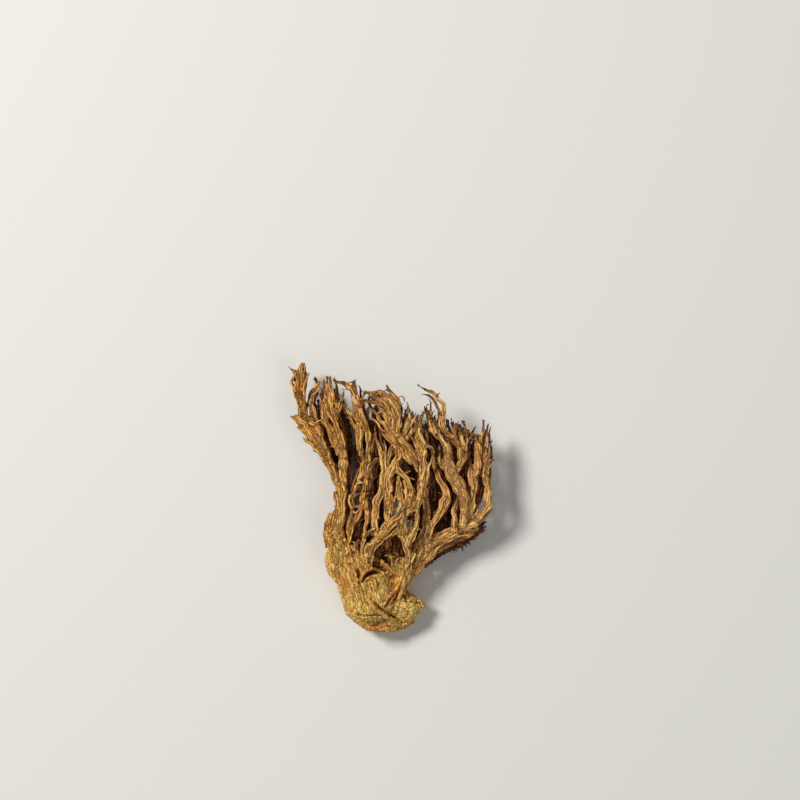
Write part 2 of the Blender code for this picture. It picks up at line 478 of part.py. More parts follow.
def main():
    clear_scene()
    parts = collection("dried_coral_fungus")
    collection("helpers", hidden=True)
    strand_outline = section(SIDES, FLATNESS, RING_SPACING)
    slender_outline = section(SLENDER_SIDES, FLATNESS, RING_SPACING)
    back_outline = section(SLENDER_SIDES, FLATNESS, BACK_SPACING)
    stem_outline = section(STEM_SIDES, STEM_FLATNESS, RING_SPACING, widen=1.0)
    back_middle = {**fan(BACK_MIDDLE, 5), "web": BACK_WEB}
    back_right = {**fan(BACK_RIGHT, 7), **fan_named(FRINGE, 9, "fringe")}
    limbs = {
        "stem": (STEM, stem_outline, PALE_FLESH),
        "middle_limb": (MIDDLE_LIMB, strand_outline, FLESH),
        "right_limb": (RIGHT_LIMB, strand_outline, FLESH),
        "left_limb": (LEFT_LIMB, strand_outline, FLESH),
        "forked_limb": (FORKED_LIMB, strand_outline, FLESH),
        "inner_limb": (INNER_LIMB, strand_outline, FLESH),
        "back_middle_limb": (back_middle, back_outline, DARK_FLESH),
        "back_right_limb": (back_right, back_outline, DARK_FLESH),
        "back_left_limb": (fan(BACK_LEFT, 3), back_outline, DARK_FLESH),
    }
    bench = block((-90, -90, -40), (90, 90, 0))
    cutters = []
    for name, (routes, outline, colour) in limbs.items():
        dice = random.Random(name)
        strands = list(routes.values())
        leans = [0 if name == "stem" else dice.uniform(-LIE, LIE) for _ in strands]
        widest = [max(row[3] for row in route) for route in strands]
        outlines = [outline] * len(strands)
        if outline is strand_outline:
            outlines = [slender_outline if width < SLENDER else outline for width in widest]
        body = fused(name, strands, outlines, leans)
        if name == "stem":
            carve(body, STEM_HOLLOWS, outline)
        cutter = fused(name + "_gap", strands, outlines, leans, FIT_GAP)
        for other in cutters:
            boolean(body, other, "DIFFERENCE")
        boolean(body, bench, "DIFFERENCE")
        keep_largest(body)
        cutters.append(cutter)
        bpy.data.collections["helpers"].objects.unlink(body)
        parts.objects.link(body)
        body.hide_render = False
        body.display_type = "TEXTURED"
        body.data.materials.clear()
        body.data.materials.append(material(name + "_flesh", colour, 0.75))


main()
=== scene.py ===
"""A dried coral fungus lying on its back: a cut, cracked stem, and limbs of wrinkled, fraying strands."""

import functools
import math
import random

import bmesh
import bpy
import numpy as np
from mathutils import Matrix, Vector, kdtree, noise

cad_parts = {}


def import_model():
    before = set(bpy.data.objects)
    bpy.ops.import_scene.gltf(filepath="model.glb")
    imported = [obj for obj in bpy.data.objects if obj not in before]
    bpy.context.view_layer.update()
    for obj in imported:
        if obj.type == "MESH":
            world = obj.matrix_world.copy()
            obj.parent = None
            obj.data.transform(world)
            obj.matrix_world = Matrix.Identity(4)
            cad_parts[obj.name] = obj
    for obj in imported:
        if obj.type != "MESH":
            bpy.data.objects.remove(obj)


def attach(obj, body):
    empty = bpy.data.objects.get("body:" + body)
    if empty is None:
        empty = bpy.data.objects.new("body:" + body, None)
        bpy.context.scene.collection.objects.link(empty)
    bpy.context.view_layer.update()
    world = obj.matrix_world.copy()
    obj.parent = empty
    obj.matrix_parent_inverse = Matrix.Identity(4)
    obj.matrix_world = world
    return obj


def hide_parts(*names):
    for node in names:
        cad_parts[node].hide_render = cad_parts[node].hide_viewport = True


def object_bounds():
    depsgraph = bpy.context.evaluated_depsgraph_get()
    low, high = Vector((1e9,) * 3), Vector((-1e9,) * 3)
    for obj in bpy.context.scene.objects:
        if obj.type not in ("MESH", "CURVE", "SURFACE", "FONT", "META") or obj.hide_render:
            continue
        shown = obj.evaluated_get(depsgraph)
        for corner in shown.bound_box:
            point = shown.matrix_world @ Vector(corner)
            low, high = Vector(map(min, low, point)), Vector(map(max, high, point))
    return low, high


bl_info = {
    "name": "Dried coral fungus",
    "version": (1, 0, 0),
    "blender": (4, 5, 0),
    "location": "3D View > Sidebar > Coral fungus",
    "description": "Builds the strands, stem and stage of a dried coral fungus",
    "category": "Add Mesh",
}

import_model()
CAD_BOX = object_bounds()

# The scene is in metres. A length below is in millimetres unless its comment says otherwise.
MM = 0.001
CENTRE_X = -0.6  # middle of the whole in the frame that the routes are written in
CENTRE_Y = -0.5
HIGHEST = CAD_BOX[1][2] / MM
OVER_TOP = 0.3  # how far the finished skin may rise past it

# Strands.
FLATNESS = 0.66  # a strand's thickness as a share of its width
STEM_FLATNESS = 0.78  # of the stem's bodies
RING = 0.42  # between the rings of a strand
FACET = 0.3  # between the points of a ring
FEWEST_FACETS = 10
MOST_FACETS = 44
TIP_LENGTH = 4.5  # of the dark end of a strand
WIDEN = 0.94  # a front strand's width as a share of the one in its route
BACK_WIDEN = 1.15  # and one underneath
FRINGE_WIDEN = 0.8  # what a strand of the fringe keeps of that
SLIM = {"inner": 0.8, "bow": 0.92, "column": 0.9}  # routes that are narrower than that
SMOOTH = {"bend"}  # routes with a whole skin, with nothing finer on them
# Routes whose end grows into another strand, so that it has no tips of its own.
JOINED = {
    "trunk", "bridge", "loop", "lens", "lens_rib", "lens_spine", "spindle", "fold", "seam", "root",
    "right_root", "elbow_edge", "shelf", "bend", "web", "neck",
}
SLENDER = 2.6  # a bundle narrower than this has two strands on its face
BROAD = 3.6  # one wider than this has four
NO_BUNDLE = 1.1  # one narrower than this is a single strand
TWIG_SPACING = 6.0  # along a front strand
BACK_TWIG_SPACING = 8.0  # along one underneath
FRINGE_TWIG_SPACING = 0.9
FRINGE_THREADS = 460
FRINGE_HEADINGS = (-125, -5)  # in degrees, anticlockwise from the right
FRINGE_REACH = 2.2  # how far from the fringe's trunk they start
FRINGE_DEPTH = 0.34  # of the furrows of its trunk
CREST_THREADS = 150
CREST_HEADINGS = (10, 170)
FRONT_SEED = 40  # of the first front limb. Each one after it has the next
STEM_SEED = 11
HOLLOWS_FROM = 5.0  # the stem's hollows are only in what lies higher than this
OUTSIDE_TOP = 3.0  # height that counts as the stem's top beside it

# Fans of strands.
SWAY = 0.045  # sideways bends of a strand, as a share of its length
FAN_WIDTH = 2.3  # of a strand at its foot
THREADS = 14  # in a fan, beside its own strands
THREAD_LIFT = 2.6  # how far they lie over them
THREAD_SHARE = 0.62  # of a strand's width

# Tones. PALEST is how much paler than the usual flesh a place may be. A material reads no stored number
# below 0, so PALEST is added to each shade that is stored.
PALEST = 0.8
DARKEST = 1.3
SHADE_SHARE = 0.62  # how much a shade of 1 darkens
# How much darker and redder a front limb is than the others, and how dark its tips are.
# Their darker share is painted light and shade: the left limbs darker, the right one paler.
TINTS = {
    "left_limb": (0.07, 0.04, 0.4),
    "inner_limb": (0.06, 0.06, 1),
    "middle_limb": (0, 0.1, 1),
    "forked_limb": (0, 0.05, 1),
    "right_limb": (-0.04, 0.2, 1.6),
}
# How much paler a single route is drawn. On the stem this is painted light and shade: its left side darker,
# its lobe and heel paler.
PALER = {"broad": 0.35, "shelf": 0.25, "left_side": -0.12, "lobe": 0.16, "heel": 0.18}  # single routes
# Painted shade: how much darker the limbs underneath are drawn, as they lie under the front ones.
BACK_SHADE = 0.15
RAGGED_RED = 0.45  # of the fringe and the crest, whose ragged edges are redder
CREST_SHADE = 0.5
# What is taken off a kind of flesh's tone, how much darker its creases are and how red it is at most.
FLESH = {"front": (0.7, 0.7, 0.5), "stem": (0.67, 0.25, 0.6), "under": (0.67, 0.7, 0.5)}
# Places of a material's colours 1 to 6 on its tone, from painted shade in a fold to painted light on a
# ridge.
TONE_STEPS = (0.0, 0.14, 0.34, 0.56, 0.78, 1.0)

# Grids that tell how deep under other strands a place lies, for the painted shade there.
CELL = 0.45
GRID_START = np.array([-34.0, -42.0, -4.0])
GRID_CELLS = (152, 190, 62)
TOP_REACH = 3  # cells that a strand's top is felt sideways

# The camera looks straight down from so high that it shows the object as the photograph does.
VIEW_WIDTH = 221.6  # across the picture at the height of the front strands
VIEW_X, VIEW_Y, VIEW_Z = 1.94, 26.87, 9.0
CAMERA_AWAY = 720.0
SENSOR = 36.0
# Each light's place and width in metres, and its power in watts.
LIGHTS = {"key": ((-0.8, 0.55, 1.05), 0.42, 17.2), "fill": ((0.7, -0.5, 1.1), 0.9, 2.2)}
SKY_COLOUR = (0.97, 0.98, 1.0)
SKY_STRENGTH = 0.2
FLOOR_REACH = 2.0  # from the middle, in metres

# Every route is a list of (x, y, height, width) in millimetres, from a strand's foot to its tip.
STEM = {
    "body": [(-5.6, -36.2, 5, 7), (-6, -35, 5, 11.5), (-6.2, -32.5, 5.1, 15), (-6.6, -28, 5.3, 15.6),
             (-8.4, -23, 5.7, 15), (-10.6, -18.8, 6, 12.6), (-12, -17, 6.2, 10)],
    "left_side": [(-11.5, -24, 6, 8), (-14.4, -18, 7, 9), (-15.8, -13, 8, 7.6)],
    "middle": [(-4, -30, 6, 8), (-6, -24, 7, 8.4), (-7.4, -19, 8.4, 6.4)],
    "rib": [(-3.4, -31, 6.6, 7), (-3.6, -26, 7.2, 6.4), (-4.6, -23.6, 7.4, 4.4)],
    "right_side": [(-0.5, -33.5, 5, 9), (0.5, -28.5, 5.6, 6.8), (1.4, -25.6, 6.2, 5),
                   (2.8, -23.2, 6.8, 4.8), (4.6, -20.6, 7.6, 4.8)],
    "lobe": [(-1, -30.8, 4.8, 9), (3.8, -30.8, 4.8, 9), (6.6, -30.8, 4.6, 6.2), (8, -30.8, 4.4, 3.4)],
    "heel": [(-9, -34, 4.6, 3.6), (-6.8, -34.8, 4.6, 5.2), (-2, -35.2, 4.4, 5.4),
             (2.4, -34.2, 4.4, 5.6), (5.6, -32.8, 4.4, 4)],
    "back_left": [(-8, -27, 4.2, 9), (-11.8, -19, 3.8, 7.6), (-13.4, -14.5, 3.6, 6)],
    "back_middle": [(-3, -27, 4.2, 9), (-4.8, -20.6, 3.8, 7.4), (-5.4, -17.4, 3.6, 6)],
    "back_right": [(0, -29, 4.2, 7.4), (1.8, -23.6, 3.8, 5.4), (4.6, -19.6, 3.6, 4.8)],
}

LEFT_LIMB = {
    "trunk": [(-15.8, -13.5, 8.2, 5.4), (-15.6, -8, 8.8, 4), (-14.6, -3, 9.2, 2.8), (-14, 1, 9.6, 2.6),
              (-14, 5, 10, 3.2)],
    "fold": [(-17, -14, 7.8, 4), (-18.2, -9.5, 8.2, 2.6), (-17.5, -6.2, 8.8, 2),
             (-15.6, -3.8, 9.4, 1.3)],
    "seam": [(-14.8, -14.5, 9, 2.6), (-14.2, -9, 9.8, 1.9), (-13.7, -3.5, 10.2, 1.5),
             (-13.4, 1.5, 10.4, 1.2)],
    "outer": [(-14.7, 0, 9.8, 1.7), (-15.8, 5, 10, 1.9), (-17.7, 9, 10, 2.2), (-19.6, 13, 10, 2.7),
              (-21.9, 17, 10, 3.5), (-24.5, 20, 10, 3.4), (-26.6, 21.9, 9.6, 2.2),
              (-27.9, 22.2, 9.2, 1)],
    "outer_top": [(-23.5, 19, 10, 3), (-25, 22.5, 9.6, 2.6), (-25.4, 26, 9.4, 2.2), (-26, 29.5, 9.3, 3),
                  (-25.7, 33, 9.4, 3.4), (-25, 36.6, 9.2, 2.2)],
    "knob_left": [(-26, 32.3, 9, 1.8), (-27.2, 34.4, 9.2, 1.3), (-28.6, 35.8, 9, 0.7)],
    "knob_right": [(-25.5, 28, 9.3, 1.5), (-24.5, 30.8, 9.2, 1.6), (-24, 33, 9.2, 0.9)],
    "arc": [(-19.6, 16, 8.8, 2.4), (-21.5, 21.8, 8, 1.8), (-22.8, 25.5, 7.6, 1.5),
            (-22.3, 28.5, 7.5, 1.4), (-21, 30.3, 7.3, 1.2), (-21.4, 32.6, 7, 0.8)],
    "slat": [(-17.2, 8.5, 10, 1.9), (-18.6, 13.4, 10.8, 1.6), (-20, 17, 11.2, 1.6),
             (-21.6, 19.9, 11, 1.5), (-24, 21.9, 10.6, 1.2)],
    "inner": [(-13.7, 3, 10, 3.2), (-13.7, 10, 10.6, 2.7), (-14.3, 15, 11, 2.2),
              (-15.2, 18.5, 11.2, 1.9), (-16, 22, 11.2, 1.9), (-17, 26, 11, 1.8),
              (-17.9, 29.5, 10.8, 1.6), (-18.2, 33, 10.6, 0.8)],
    "inner_right": [(-13.3, 10.5, 11, 1.8), (-13.8, 15.6, 11.8, 1.5), (-15.1, 19, 12.2, 1.4),
                    (-16.3, 23.4, 12.4, 1.4), (-16.7, 27, 12.4, 1.4), (-17, 30.6, 12.2, 1.2),
                    (-17.5, 32.8, 12, 0.9)],
    "inner_left": [(-14.6, 11.5, 10.8, 1.8), (-16.9, 17.4, 11.2, 1.5), (-18.4, 20.8, 11.2, 1.5),
                   (-18.9, 24, 10.8, 1.4), (-18.8, 27.5, 10.4, 1.2), (-19.2, 30.6, 10, 0.9)],
    "bud": [(-15.8, 20.5, 12.2, 1.3), (-15.2, 23.4, 12.4, 1.4), (-14.2, 26.2, 12.6, 1.3),
            (-13.6, 28.6, 12.4, 0.8)],
}

INNER_LIMB = {
    "root": [(-12, -18.5, 9.6, 2.4), (-12.1, -14.5, 10.4, 1.7), (-12, -11.6, 11, 1.4),
             (-11.3, -8.8, 11.3, 1.2), (-9.9, -5.9, 11.7, 1.1), (-8.7, -3.6, 12, 1.2),
             (-8.1, -0.8, 12.3, 1.3), (-7.7, 4, 12.8, 1.4)],
    "stump": [(-10.7, -18.6, 9.8, 1.6), (-10.3, -15.6, 10.3, 1.3), (-10, -13, 10.7, 0.9)],
    "left_root": [(-12.1, -11.5, 10.6, 1.3), (-12.4, -8.5, 10.8, 1.1), (-11.9, -5.8, 11, 1),
                  (-11.2, -3, 11.1, 1.1), (-11.2, 0, 11.2, 1.1), (-10.2, 3.3, 11.6, 1.1),
                  (-8.9, 6, 12.2, 1.2), (-8.4, 9, 12.6, 1.3), (-8.6, 12.4, 13, 1.4)],
    "bow": [(-7.7, 3, 12.8, 1.5), (-7, 8, 13.4, 1.4), (-6.7, 12, 14, 1.4), (-6.7, 15.5, 14.4, 1.5),
            (-7.3, 19.5, 14.6, 1.6), (-8.6, 22.8, 14.6, 1.7), (-9.6, 25.5, 14.4, 1.7),
            (-9.9, 28.4, 14.2, 1.4), (-10.6, 31.2, 14, 1)],
    "bow_tip": [(-9.3, 24.6, 14.2, 1.3), (-8.7, 26.7, 14.2, 1.2), (-7.7, 28.7, 14, 0.7)],
    "right_root": [(-9.4, -19, 9.6, 2), (-8.5, -14.6, 10.2, 1.4), (-7.9, -10.6, 10.8, 1.3),
                   (-7.3, -7.2, 11.4, 1.3), (-7.2, -3.6, 12, 1.3), (-7.8, 0, 12.4, 1.2)],
    "left_bow": [(-8.7, 11, 13, 1.5), (-9.2, 15, 13.2, 1.5), (-9, 18.6, 13.6, 1.7),
                 (-10.4, 22, 13.8, 1.7), (-12.4, 24, 13.8, 1.4), (-13.8, 25.8, 14.2, 0.9)],
    "arch": [(-9.9, 27, 14.2, 1.5), (-11.3, 29.9, 14.2, 1.3), (-13.6, 31.2, 14.2, 1.3),
             (-15.6, 32, 14.4, 0.8)],
    "loop": [(-11.9, 1, 11.4, 1), (-11.9, -2, 12, 0.9), (-10.7, -4.3, 12.2, 0.9),
             (-9.3, -3.6, 12.4, 1)],
    "bridge": [(-10.4, 3.6, 12, 1), (-8.7, 4.3, 12.8, 1), (-7.4, 3.4, 12.8, 1)],
    "slant": [(-7.3, 5.2, 13, 1.2), (-6.8, 7.6, 13.6, 1), (-6, 9.3, 14, 1.1), (-4.9, 10, 14.2, 0.9)],
}

MIDDLE_LIMB = {
    "trunk": [(-8, -20.2, 8.4, 3.9), (-7, -16.8, 9.2, 3.6), (-6, -13.8, 10, 3.4),
              (-4.2, -11.6, 10.8, 3.2), (-2.3, -9.7, 11.5, 3), (-0.4, -7.4, 12.1, 2.8),
              (2, -4.9, 12.8, 2.7), (4.4, -2.9, 13.3, 2.8), (5.9, -1, 13.6, 2.5),
              (6.2, 1.2, 13.8, 1.5)],
    "side_twig": [(-4.9, -8, 12.6, 1.3), (-6.4, -9.3, 12.8, 0.9), (-7.6, -10.6, 12.6, 0.6)],
    "column": [(-4.9, -11, 11.4, 2.6), (-5, -4.5, 12.2, 2.3), (-4.6, -1, 13, 2.3),
               (-3.7, 1.5, 13.8, 1.9), (-3, 5, 14.4, 1.5), (-2.9, 9, 14.8, 1.5),
               (-3.3, 12.5, 15.2, 1.5), (-4.3, 15.6, 15.4, 1.3), (-5, 18.6, 15.6, 0.9)],
    "thin_column": [(-1.4, -8.6, 12.2, 1.8), (-1.6, -4, 12.8, 1.7), (-1.5, 0, 13.4, 1.4),
                    (-1.4, 5, 14, 1.3), (-1.5, 9, 14.6, 1.2), (-1, 12, 15, 1.3),
                    (0.2, 14.2, 15.4, 1.6)],
    "pale_column": [(-0.6, -5, 12.8, 1.9), (-0.7, 2, 14, 1.6), (-0.6, 6, 14.8, 1.8),
                    (0.5, 8.6, 15.2, 2.2), (1.6, 10.6, 15.6, 1.8), (1.5, 13, 16, 1.9),
                    (1.2, 15.6, 16.4, 1.8)],
    "lens": [(0.8, 8.3, 15.4, 1.9), (3.2, 5.7, 15.6, 1.7), (5, 3.3, 15.2, 1.6), (6, 1, 14.4, 1.5)],
    "lens_rib": [(1.5, 6.4, 14.8, 1.1), (1.6, 1.5, 14.2, 1.4), (2, -2.3, 14, 1.3),
                 (1.4, -4.4, 13.4, 1.1)],
    "lens_spine": [(3, 5.2, 15.2, 1.2), (3.9, 1.2, 14.4, 1.4), (3.4, -1.8, 14, 1.3),
                   (1.8, -4.2, 13.4, 1.1)],
    "spindle": [(3.6, -3, 13.6, 2.2), (5, 0, 14.4, 2.1), (5.6, 2.6, 15, 1.4)],
    "sweep": [(7.8, 9, 14.4, 0.9), (6.3, 11.2, 15.4, 1.4), (4.8, 13.2, 16.2, 1.8), (3, 15, 16.6, 1.9),
              (1.4, 17, 16.8, 1.8), (0, 19, 17, 1.7), (-1.6, 21.8, 17.2, 1.7), (-2.8, 24.3, 17.2, 1.6),
              (-4.8, 26.2, 17, 1.4), (-7, 26.6, 16.8, 0.9)],
    "low_sweep": [(7.3, 6.8, 14.2, 0.9), (5.8, 9.3, 15.1, 1.6), (3.4, 12.2, 15.8, 2.2),
                  (0.8, 15.2, 16.2, 1.8), (-1.2, 18, 16.4, 1.6), (-3.1, 21, 16.6, 1.5),
                  (-4.6, 23.2, 16.6, 1.3), (-6, 24.4, 16.8, 0.8)],
    "crest": [(1.2, 17.5, 16.8, 1.6), (1.4, 21.5, 17.4, 1.7), (0.9, 24.3, 17.8, 1.8),
              (-0.4, 26.8, 18, 1.8), (-2.5, 28.4, 17.8, 1.6), (-5, 29, 17.4, 1.4),
              (-7.6, 28.8, 17.2, 0.8)],
    "left_crest": [(0.1, 18.5, 17.2, 1.5), (-0.1, 22.3, 17.8, 1.5), (-1.4, 25.2, 18, 1.6),
                   (-3.3, 27, 17.8, 1.3), (-5.8, 27.9, 17.4, 0.9)],
    "flap": [(1, 22.8, 17.4, 1.8), (1.6, 25.6, 17.6, 1.9), (0.4, 27.9, 17.6, 1.8),
             (-1.2, 29.5, 17.4, 0.8)],
    "post": [(1.8, 16, 16, 1.6), (3.7, 19.4, 16, 1.8), (4.5, 22, 16, 1.6), (4.2, 25, 15.6, 0.8)],
    "thin_post": [(3, 15.4, 16, 1.3), (5.1, 18.4, 15.6, 1.2), (5.4, 22.4, 15.2, 0.8)],
}

FORKED_LIMB = {
    "neck": [(1.9, -27.8, 8.6, 0.8), (2.9, -24.8, 9.6, 1.3), (3.6, -21, 11, 1.6), (4.1, -17, 12.6, 1.6),
             (4.2, -14, 13.4, 1.7), (3.9, -11.2, 14, 2.6), (3.4, -9, 14.4, 3.2)],
    "left_prong": [(3.4, -12, 13.8, 1.8), (2.1, -9.8, 14.2, 2), (1.4, -8.4, 14.4, 1.3),
                   (1.6, -6.6, 14.6, 0.7)],
    "middle_prong": [(3.3, -10.4, 14.4, 2.8), (3, -8, 15, 2.6), (3, -5.8, 15.8, 1.8),
                     (3.3, -4.2, 16.2, 0.9)],
    "right_prong": [(4.2, -11.4, 14.2, 2.4), (5.9, -9, 14.9, 1.7), (6.6, -6.4, 15.3, 1.3),
                    (6.7, -4.4, 15.6, 1.2), (6.9, -2, 15.9, 1.3), (7.4, 1, 16.2, 1.4),
                    (8, 4.5, 16.4, 1.5), (8.3, 8, 16.8, 1.7), (8.7, 11, 17, 1.8), (8.5, 14, 17, 1.7),
                    (7.6, 17, 16.8, 1.5), (7.2, 20, 16.4, 1.4), (8, 22.8, 16, 1.2)],
    "spur": [(8.7, 9, 16.8, 1.3), (7.3, 12.2, 17.2, 1.1), (6.6, 15.6, 17, 1.1), (6.4, 20.6, 16.4, 0.8)],
}

RIGHT_LIMB = {
    "trunk": [(5, -22, 8.4, 4.2), (7.6, -17, 9, 4.6), (10, -14, 9.6, 5), (13, -11.8, 10, 4),
              (16.5, -9.8, 10.4, 3.4), (20, -8, 10.8, 3.4), (23.3, -6.5, 11.2, 3),
              (25.6, -4, 11.6, 2.7), (26.3, -0.5, 12, 2.4)],
    "shelf": [(11.5, -14.5, 9, 3), (16.5, -12, 8.8, 2.2), (20.5, -10, 9.2, 1.7), (24, -8.6, 9.6, 1.2)],
    "back_strand": [(6.2, -17.5, 9.6, 2.8), (7.8, -12.4, 11, 2.6), (9.1, -8.5, 12, 1.8),
                    (9.4, -4.5, 12.6, 1.4), (9.3, 0, 12.8, 1.3), (9.2, 4, 13, 1.3), (9.8, 8, 13.2, 1.3),
                    (10.2, 11, 13.2, 0.9)],
    "elbow": [(9.2, -13.2, 10.6, 2.2), (9.8, -10.2, 11.6, 1.6), (10.7, -7.8, 12.3, 1.6),
              (12.2, -5, 13.2, 2.1), (13.4, -2.4, 13.9, 2.4), (14.5, 0.6, 14.4, 2.2),
              (13.5, 3.2, 14.6, 1.5), (12.1, 5.8, 14.6, 1.2), (11.3, 8.8, 14.6, 1.1),
              (11, 11.5, 14.6, 1.2), (10.1, 14.2, 14.6, 1.3), (9.2, 16.8, 14.4, 1.2),
              (8.6, 19.4, 14, 0.8)],
    "elbow_edge": [(13.2, -4.6, 13, 1.1), (14.9, -3, 13.4, 0.9), (15.5, -0.8, 13.8, 0.9),
                   (15, 1.6, 14.2, 0.8)],
    "stub": [(16.8, -10, 11, 2.2), (17, -6, 12.4, 1.7), (17, -3, 13, 1.6), (18.1, -0.3, 13.6, 1.5)],
    "broad": [(19.3, -8.8, 11.2, 2.6), (19.6, -4.5, 12.8, 2.2), (19.7, -1, 13.6, 2.5),
              (18.7, 2, 14.4, 3), (17.2, 4.6, 15, 3), (15.9, 7.2, 15.4, 2.8), (15.2, 10, 15.6, 2),
              (14.9, 12.5, 15.6, 1.6), (14.2, 15, 15.4, 1.4), (12.9, 17.3, 15, 1.2),
              (12.2, 19.6, 14.4, 0.8)],
    "broad_right": [(16.9, 6.2, 15.2, 1.8), (18.1, 8.7, 15.2, 1.5), (19.2, 10.6, 15, 1.5),
                    (19.8, 13, 14.6, 1.4), (19.2, 16, 14.2, 1.1), (18.4, 19.4, 13.6, 0.7)],
    "broad_left": [(14.8, 7.6, 15.2, 1.4), (13.3, 8.6, 14.8, 1), (12.9, 10.8, 14.4, 0.9),
                   (12.8, 13.8, 14, 0.7)],
    "blade": [(21, -7.5, 11.2, 2), (21.5, -2.5, 12.4, 1.5), (21.8, 1.5, 13, 1.6), (21.8, 4.5, 13.4, 2),
              (21.4, 7.4, 13.6, 1.8), (21.2, 9.6, 13.4, 0.9)],
    "blade_top": [(22.4, 3.6, 13.4, 1.6), (23.1, 7, 13.5, 1.7), (23.7, 10.2, 13.4, 2),
                  (23.6, 13.2, 13.2, 1.8), (24.2, 15.8, 12.8, 1.6), (24.8, 18, 12.4, 1.2),
                  (24.9, 20.2, 12.2, 0.7)],
    "rim": [(25.9, -2, 12, 2.2), (25.9, 2, 12.3, 1.9), (25.7, 5, 12.5, 1.7), (26, 8.5, 12.5, 1.4),
            (26.4, 11.5, 12.2, 1.2), (26.8, 14.8, 11.8, 0.7)],
    "rim_left": [(26, 3, 12.4, 1.7), (25, 7, 12.6, 1.3), (25.3, 10.5, 12.6, 1.3), (25.4, 14, 12.4, 1.2),
                 (25.8, 17, 12, 1), (26.1, 19.6, 11.8, 0.6)],
    "arc": [(18.2, 10.5, 14.6, 1.4), (18.1, 14, 13.4, 1.3), (17, 16.2, 13.4, 1.3),
            (15.3, 17.6, 13.6, 1.3), (13.8, 19, 14, 1.4), (13.9, 22, 14.4, 1.5), (14, 24, 14.6, 1.4),
            (13.3, 26.2, 14.8, 1.4), (11.6, 28.2, 14.8, 1.5), (9.8, 29.4, 14.6, 1.2),
            (8.2, 30.1, 14.4, 0.6)],
    "pair": [(13.8, 15.6, 15, 1.3), (11.6, 17.2, 14.4, 1.4), (10.4, 19.6, 14.2, 1.4),
             (9.6, 22.2, 14.2, 1.3), (9, 24.3, 13.8, 0.7)],
    "pair_tip": [(10.4, 19.6, 14, 1.2), (10.4, 23.2, 13.8, 0.9), (10.3, 26, 13.4, 0.6)],
    "sprig": [(19.4, 13, 14.6, 1.2), (20.4, 16.4, 13.6, 1), (19.6, 20.3, 13, 0.6)],
    "sprig_right": [(20.2, 15.4, 13.8, 1.1), (21.8, 17.2, 13.2, 1), (22.4, 19, 12.8, 0.6)],
    "dark_tip": [(17, 16, 13.4, 1.2), (16.6, 18.8, 13, 0.9), (16, 21.2, 12.6, 0.6)],
    "crest": [(16.6, 19.4, 12, 1), (18.4, 18.2, 12.4, 1.6), (20.4, 17.3, 12.6, 1.7),
              (22.2, 16.3, 12.4, 1.6), (24, 15.9, 12.2, 1.1)],
}

# The limbs underneath are fans: a trunk, and strands that leave it for a row of tips. A fan is its
# trunk's route, its tips (x, y, height) from left to right, its number of strands, and the share of the
# trunk where the first strand and the last one leave it.
BACK_LEFT = {
    "trunk": [(-13.4, -15.4, 3.4, 5.2), (-13.6, -8, 2, 4.2), (-13.9, -1, 1.5, 3), (-14.3, 5, 1.6, 2.4)],
    "tips": [(-24.6, 17.6, 2.4), (-22.4, 24, 0.3), (-19.6, 28, 4.6), (-16.6, 29, 0.3), (-13.6, 26, 5.4),
             (-13, 19.5, 1)],
    "strands": 9,
    "feet": (0.98, 0.55),
}
BACK_MIDDLE = {
    "trunk": [(-5.2, -18.4, 3.4, 5), (-4.8, -11, 2, 4.4), (-3.4, -3, 1.6, 4), (-0.4, 4, 1.8, 2.8)],
    "tips": [(-9.6, 15.5, 6), (-9.4, 24, 0.3), (-6, 27, 8), (-2.4, 26.4, 0.3), (1.6, 25, 8.4),
             (4.6, 22.6, 0.3), (6.8, 18, 8)],
    "strands": 11,
    "feet": (0.35, 0.98),
}
# A sheet that closes the space between the middle limb's two sides from below.
BACK_WEB = [(-3.8, -7.6, 2.4, 3.4), (-2, -11, 2.8, 5.2), (-0.2, -15, 3.2, 5.8), (0.8, -19, 3.6, 5),
            (1.4, -22, 4, 3.4)]
BACK_RIGHT = {
    "trunk": [(4.8, -20.6, 3.4, 4.2), (8.4, -15.4, 2, 4), (13.6, -11.6, 1.2, 3.6), (19, -8.8, 1, 3),
              (23, -6.4, 1.8, 2.2)],
    "tips": [(8.2, 17, 6), (10.4, 21.4, 0.3), (14, 20.6, 8), (17.4, 19.6, 0.3), (20.6, 17, 7.6),
             (23.4, 15, 0.3), (25.2, 8.6, 7)],
    "strands": 11,
    "feet": (0.3, 0.96),
}
FRINGE = {
    "trunk": [(7.4, -17.4, 2.8, 3.2), (13, -13.6, 2.6, 3.4), (19, -10.8, 2.6, 3), (24.4, -7.4, 3.2, 2)],
    "tips": [(9.2, -20, 2), (12, -18.2, 5), (14.6, -17.2, 1.6), (17, -15.6, 5.4), (19.6, -15, 1.6),
             (22.4, -12.4, 6), (25.8, -9.6, 2.4), (27, -6.4, 6)],
    "strands": 22,
    "feet": (0.12, 0.94),
}

# The skin that runs over the right limb's outer bend, from its trunk into its rim.
RIGHT_LIMB["bend"] = [(22.4, -7.2, 11.3, 1.9), (25, -5, 11.9, 2.1), (26.4, -2, 12.4, 2.1),
                      (26.5, 1.2, 12.6, 1.9), (26.2, 4.4, 12.7, 1.5), (26, 7.4, 12.6, 1)]
# Low strands between the left limb and the middle limb's foot.
LOW_THREADS = {
    "low_thread": [(-12, -16.5, 4.2, 2), (-10.6, -12, 4.6, 2), (-9.6, -8, 5, 1.9), (-9, -4, 5.4, 1.6),
                   (-9.4, 0, 5.6, 1)],
    "low_thread_2": [(-10.4, -16, 4, 1.8), (-9, -11, 4.2, 1.8), (-8.2, -6.4, 4.4, 1.6),
                     (-7.8, -2, 4.6, 1)],
}
